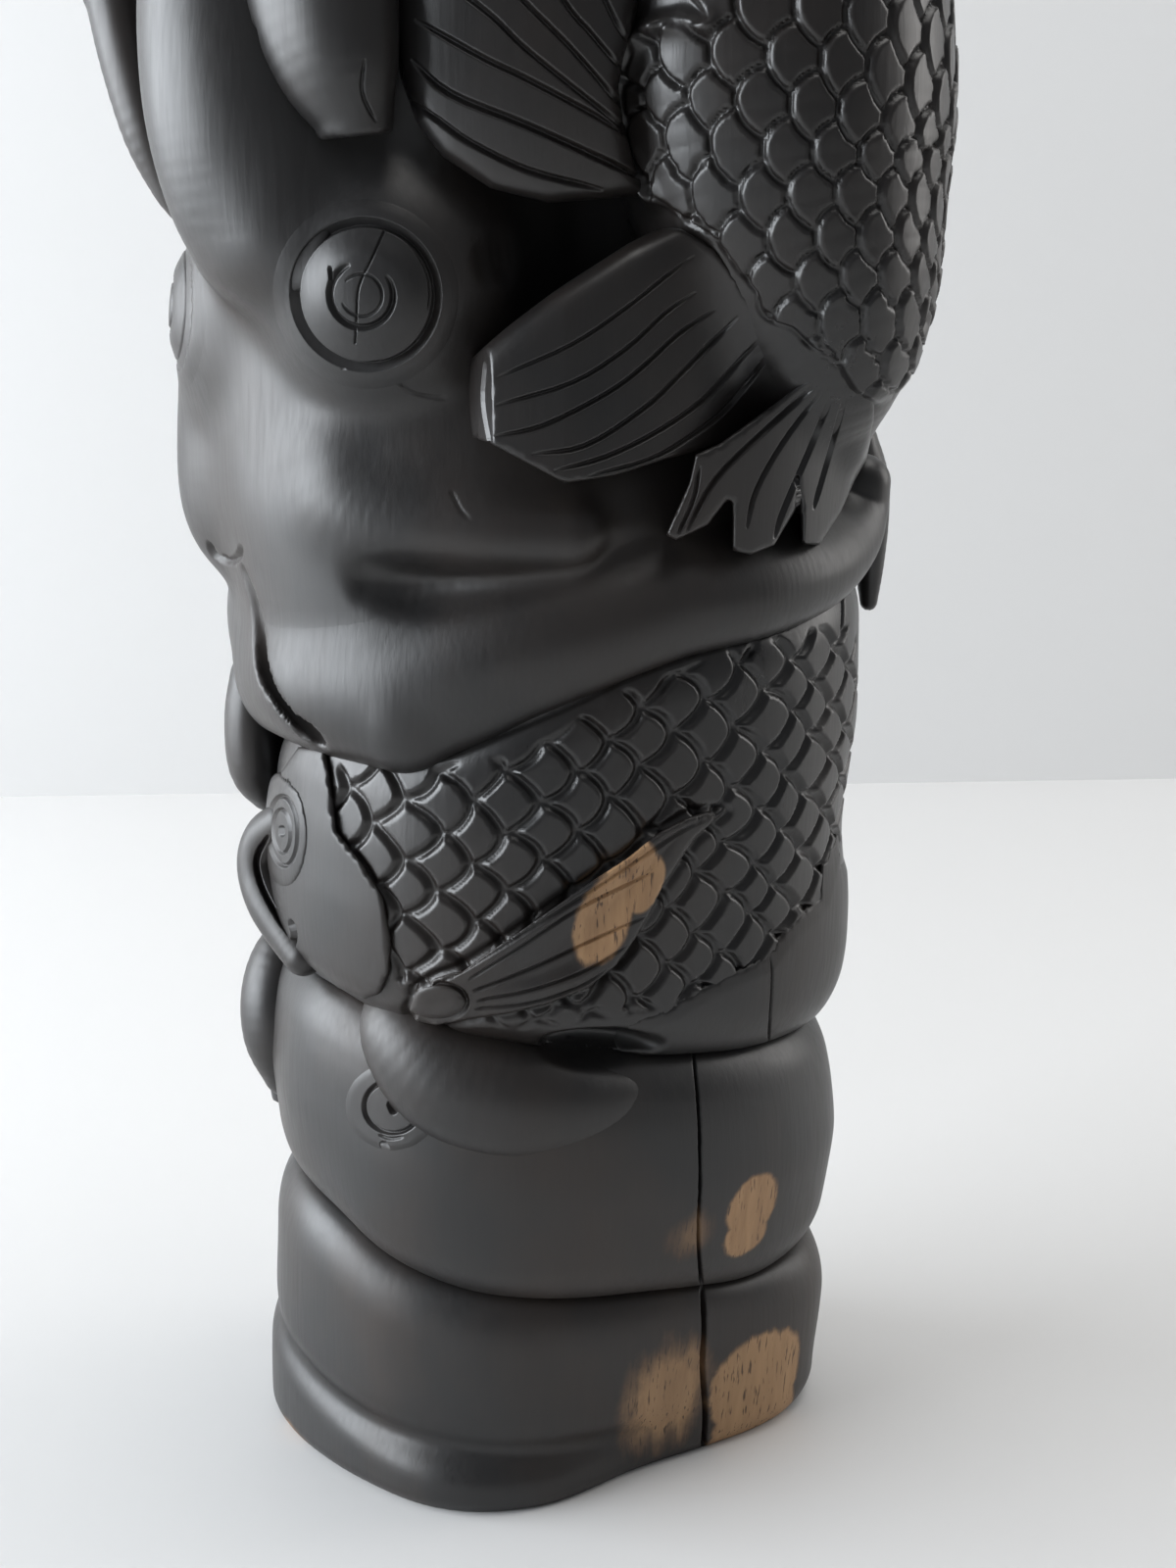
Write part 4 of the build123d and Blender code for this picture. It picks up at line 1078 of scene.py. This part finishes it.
# ---- materials -------------------------------------------------------------------------------
def wood(name, bare=(), rough=(0.36, 0.47), brown=0.5):
    """black stained hardwood with a satin rub; `bare` = spots where the stain is worn off: centre mm, turn degrees, half sizes mm, strength, softness"""
    m = bpy.data.materials.new(name)
    m.use_nodes = True
    nt = m.node_tree
    N, L = nt.nodes, nt.links
    bs = N["Principled BSDF"]
    tc = N.new("ShaderNodeTexCoord")

    def mapped(scale):
        k = N.new("ShaderNodeMapping")
        k.inputs["Scale"].default_value = scale
        L.new(tc.outputs["Object"], k.inputs["Vector"])
        return k.outputs["Vector"]

    def tex(scale, vec, detail=3.0, roughness=0.55):
        k = N.new("ShaderNodeTexNoise")
        k.inputs["Scale"].default_value = scale
        k.inputs["Detail"].default_value = detail
        k.inputs["Roughness"].default_value = roughness
        L.new(vec, k.inputs["Vector"])
        return k.outputs["Fac"]

    def rng(v, a, b_, c, d):
        k = N.new("ShaderNodeMapRange")
        k.inputs["From Min"].default_value = a
        k.inputs["From Max"].default_value = b_
        k.inputs["To Min"].default_value = c
        k.inputs["To Max"].default_value = d
        L.new(v, k.inputs["Value"])
        return k.outputs["Result"]

    def mth(op, a, b_=None):
        k = N.new("ShaderNodeMath")
        k.operation = op
        for i, v in enumerate((a, b_)):
            if v is None:
                continue
            if isinstance(v, (int, float)):
                k.inputs[i].default_value = v
            else:
                L.new(v, k.inputs[i])
        return k.outputs[0]

    def mix(f, a, b_):
        k = N.new("ShaderNodeMix")
        k.data_type = "RGBA"
        L.new(f, k.inputs[0])
        for i, v in ((6, a), (7, b_)):
            if isinstance(v, tuple):
                k.inputs[i].default_value = (*v, 1)
            else:
                L.new(v, k.inputs[i])
        return k.outputs[2]

    cloud = tex(26.0, mapped((1, 1, 0.6)), 4)
    grain = tex(1.0, mapped((900, 900, 55)), 3, 0.6)
    streak = tex(1.0, mapped((260, 260, 16)), 3, 0.6)
    col = mix(rng(cloud, 0.42, 0.68, 0.0, brown), (0.0125, 0.0118, 0.0118), (0.030, 0.0205, 0.0155))
    col = mix(rng(streak, 0.5, 0.8, 0.0, 0.12), col, (0.007, 0.0065, 0.006))
    ro = rng(cloud, 0.3, 0.75, rough[0], rough[1])
    ro = mth("ADD", ro, rng(grain, 0.3, 0.7, -0.03, 0.05))
    hgt = rng(grain, 0.2, 0.8, 0.0, 1.0)
    if bare:
        edge_n = tex(190.0, mapped((1, 1, 0.7)), 4, 0.65)
        total = None
        for c, turn, sz, stren, soft in bare:
            k = N.new("ShaderNodeMapping")
            k.vector_type = "TEXTURE"
            k.inputs["Location"].default_value = ((c[0] + OX) / 1000, (c[1] + OY) / 1000, c[2] / 1000)
            k.inputs["Rotation"].default_value = (0, math.radians(sz[3]) if len(sz) > 3 else 0.0, math.radians(turn))
            k.inputs["Scale"].default_value = (sz[0] / 1000, sz[1] / 1000, sz[2] / 1000)
            L.new(tc.outputs["Object"], k.inputs["Vector"])
            ln = N.new("ShaderNodeVectorMath")
            ln.operation = "LENGTH"
            L.new(k.outputs["Vector"], ln.inputs[0])
            dd = mth("ADD", ln.outputs["Value"], rng(edge_n, 0.3, 0.7, -0.045 - soft * 0.25, 0.045 + soft * 0.25))
            dd = mth("ADD", dd, rng(streak, 0.35, 0.65, -soft * 0.45, soft * 0.45))
            one = rng(dd, 1.0 + soft, 1.0 - soft - 0.04, 0.0, stren)
            total = one if total is None else mth("MAXIMUM", total, one)
        pore_n = tex(1.0, mapped((1500, 1500, 130)), 2, 0.5)
        pores = rng(pore_n, 0.60, 0.68, 0.0, 0.85)
        tone = rng(tex(1.0, mapped((320, 320, 30)), 4, 0.6), 0.3, 0.7, 0.0, 1.0)
        raw = mix(tone, (0.235, 0.125, 0.058), (0.42, 0.25, 0.125))
        raw = mix(rng(cloud, 0.35, 0.65, 0.0, 0.5), raw, (0.44, 0.28, 0.15))
        raw = mix(pores, raw, (0.055, 0.03, 0.018))
        edgec = mix(rng(total, 0.0, 0.75, 0.0, 1.0), (0.10, 0.052, 0.028), raw)
        col = mix(total, col, edgec)
        ro = mth("ADD", ro, mth("MULTIPLY", total, 0.22))
        hgt = mth("SUBTRACT", hgt, mth("MULTIPLY", mth("MULTIPLY", pores, total), 1.5))
    L.new(col, bs.inputs["Base Color"])
    L.new(ro, bs.inputs["Roughness"])
    bs.inputs["Specular IOR Level"].default_value = 0.55
    bp = N.new("ShaderNodeBump")
    bp.inputs["Strength"].default_value = 0.06
    bp.inputs["Distance"].default_value = 0.0004
    L.new(hgt, bp.inputs["Height"])
    L.new(bp.outputs["Normal"], bs.inputs["Normal"])
    return m


SMOOTH = wood("black_wood")
CUT = wood("black_wood_cut", rough=(0.28, 0.38), brown=0.4)
BASE_MAT = wood("black_wood_worn_base", [((49.6, -10.2, 15.1), 42, (14.6, 9, 13.6), 1.0, 0.05), ((49.5, -8.2, 2.2), 42, (13.6, 9, 14.0), 1.0, 0.05), ((29.0, -26.5, 18.0), 22, (10.5, 9, 13.5), 0.85, 0.32), ((34.3, -24.2, 22.6), 25, (5.0, 9, 9.0), 0.7, 0.3), ((-57.7, -9.0, 0.1), -60, (7.0, 6, 3.0), 0.6, 0.3)], brown=0.8)
DOL_MAT = wood("black_wood_worn_body", [((45.1, -19.5, 64.4), 42, (8.8, 8, 9.0), 1.0, 0.05), ((43.9, -20.0, 57.5), 42, (7.4, 8, 5.8), 1.0, 0.06), ((32.1, -29.8, 62.3), 25, (5.2, 7, 5.6), 0.55, 0.35)], brown=0.8)
FIN_MAT = wood("black_wood_worn_fin", [((18.9, -45.8, 147.7), 20, (5.6, 9, 8.4, 20), 1.0, 0.05), ((13.4, -47.2, 139.7), 20, (6.2, 9, 10.5, 14), 1.0, 0.07), ((21.9, -44.2, 146.0), 20, (4.0, 9, 6.5, 20), 1.0, 0.06)], brown=0.5)
for nm, o in OBJ.items():
    m = SMOOTH
    if nm in ("upper_fish_body", "lower_fish_body", "upper_fish_tail_upper", "upper_fish_tail_lower", "upper_fish_side_fin"):
        m = CUT
    m = {"base": BASE_MAT, "lower_dolphin_body": DOL_MAT, "lower_fish_pectoral_fin": FIN_MAT}.get(nm, m)
    o.data.materials.clear()
    o.data.materials.append(m)

# ---- floor, backdrop, light, camera ---------------------------------------------------------------------
def cam_and_light():
    sc = bpy.context.scene
    cam = bpy.data.objects.new("camera", bpy.data.cameras.new("camera"))
    sc.collection.objects.link(cam)
    cam.data.sensor_fit = "VERTICAL"
    cam.data.sensor_height = 36.0
    cam.data.lens = 52.0
    cam.location = ((11 + OX) / 1000, (-481 + OY) / 1000, 0.2835)
    cam.rotation_euler = (math.radians(75), 0, 0)
    cam.data.clip_start = 0.01
    sc.camera = cam

    def mat(name, col, rough):
        m = bpy.data.materials.new(name)
        m.use_nodes = True
        bs = m.node_tree.nodes["Principled BSDF"]
        bs.inputs["Base Color"].default_value = (*col, 1)
        bs.inputs["Roughness"].default_value = rough
        bs.inputs["Specular IOR Level"].default_value = 0.3
        return m

    me = bpy.data.meshes.new("floor")
    h, w = 2.4, 3.0
    yc, sl = 0.566, math.tan(math.radians(3.4))
    ya, yb = yc - w * sl, yc + w * sl
    me.from_pydata([(-w, -w, 0), (w, -w, 0), (w, yb, 0), (-w, ya, 0), (w, yb, h), (-w, ya, h)], [], [(0, 1, 2, 3), (3, 2, 4, 5)])
    fl = bpy.data.objects.new("floor", me)
    sc.collection.objects.link(fl)
    me.materials.append(mat("floor", (0.68, 0.675, 0.668), 0.5))

    wd = bpy.data.worlds.new("world")
    wd.use_nodes = True
    wd.node_tree.nodes["Background"].inputs[0].default_value = (0.92, 0.95, 1.0, 1)
    wd.node_tree.nodes["Background"].inputs[1].default_value = 0.20
    sc.world = wd

    def area(name, loc, target, size, power, col=(1, 1, 1)):
        l = bpy.data.lights.new(name, "AREA")
        l.shape = "RECTANGLE"
        l.size, l.size_y = size
        l.energy = power
        l.color = col
        o = bpy.data.objects.new(name, l)
        o.location = loc
        o.rotation_euler = (Vector(target) - Vector(loc)).to_track_quat("-Z", "Y").to_euler()
        sc.collection.objects.link(o)
        return o

    area("window", (-1.4, 0.0, 0.52), (0, 0, 0.30), (2.2, 1.0), 72, (0.90, 0.95, 1.0))
    area("top", (0.35, 0.25, 1.7), (0, 0.1, 0.0), (1.5, 1.2), 15, (1.0, 0.985, 0.96))
    area("right", (1.3, 0.45, 0.55), (0, 0, 0.2), (0.7, 0.9), 7.0, (1.0, 0.98, 0.96))
    sc.view_settings.view_transform = "Standard"


cam_and_light()
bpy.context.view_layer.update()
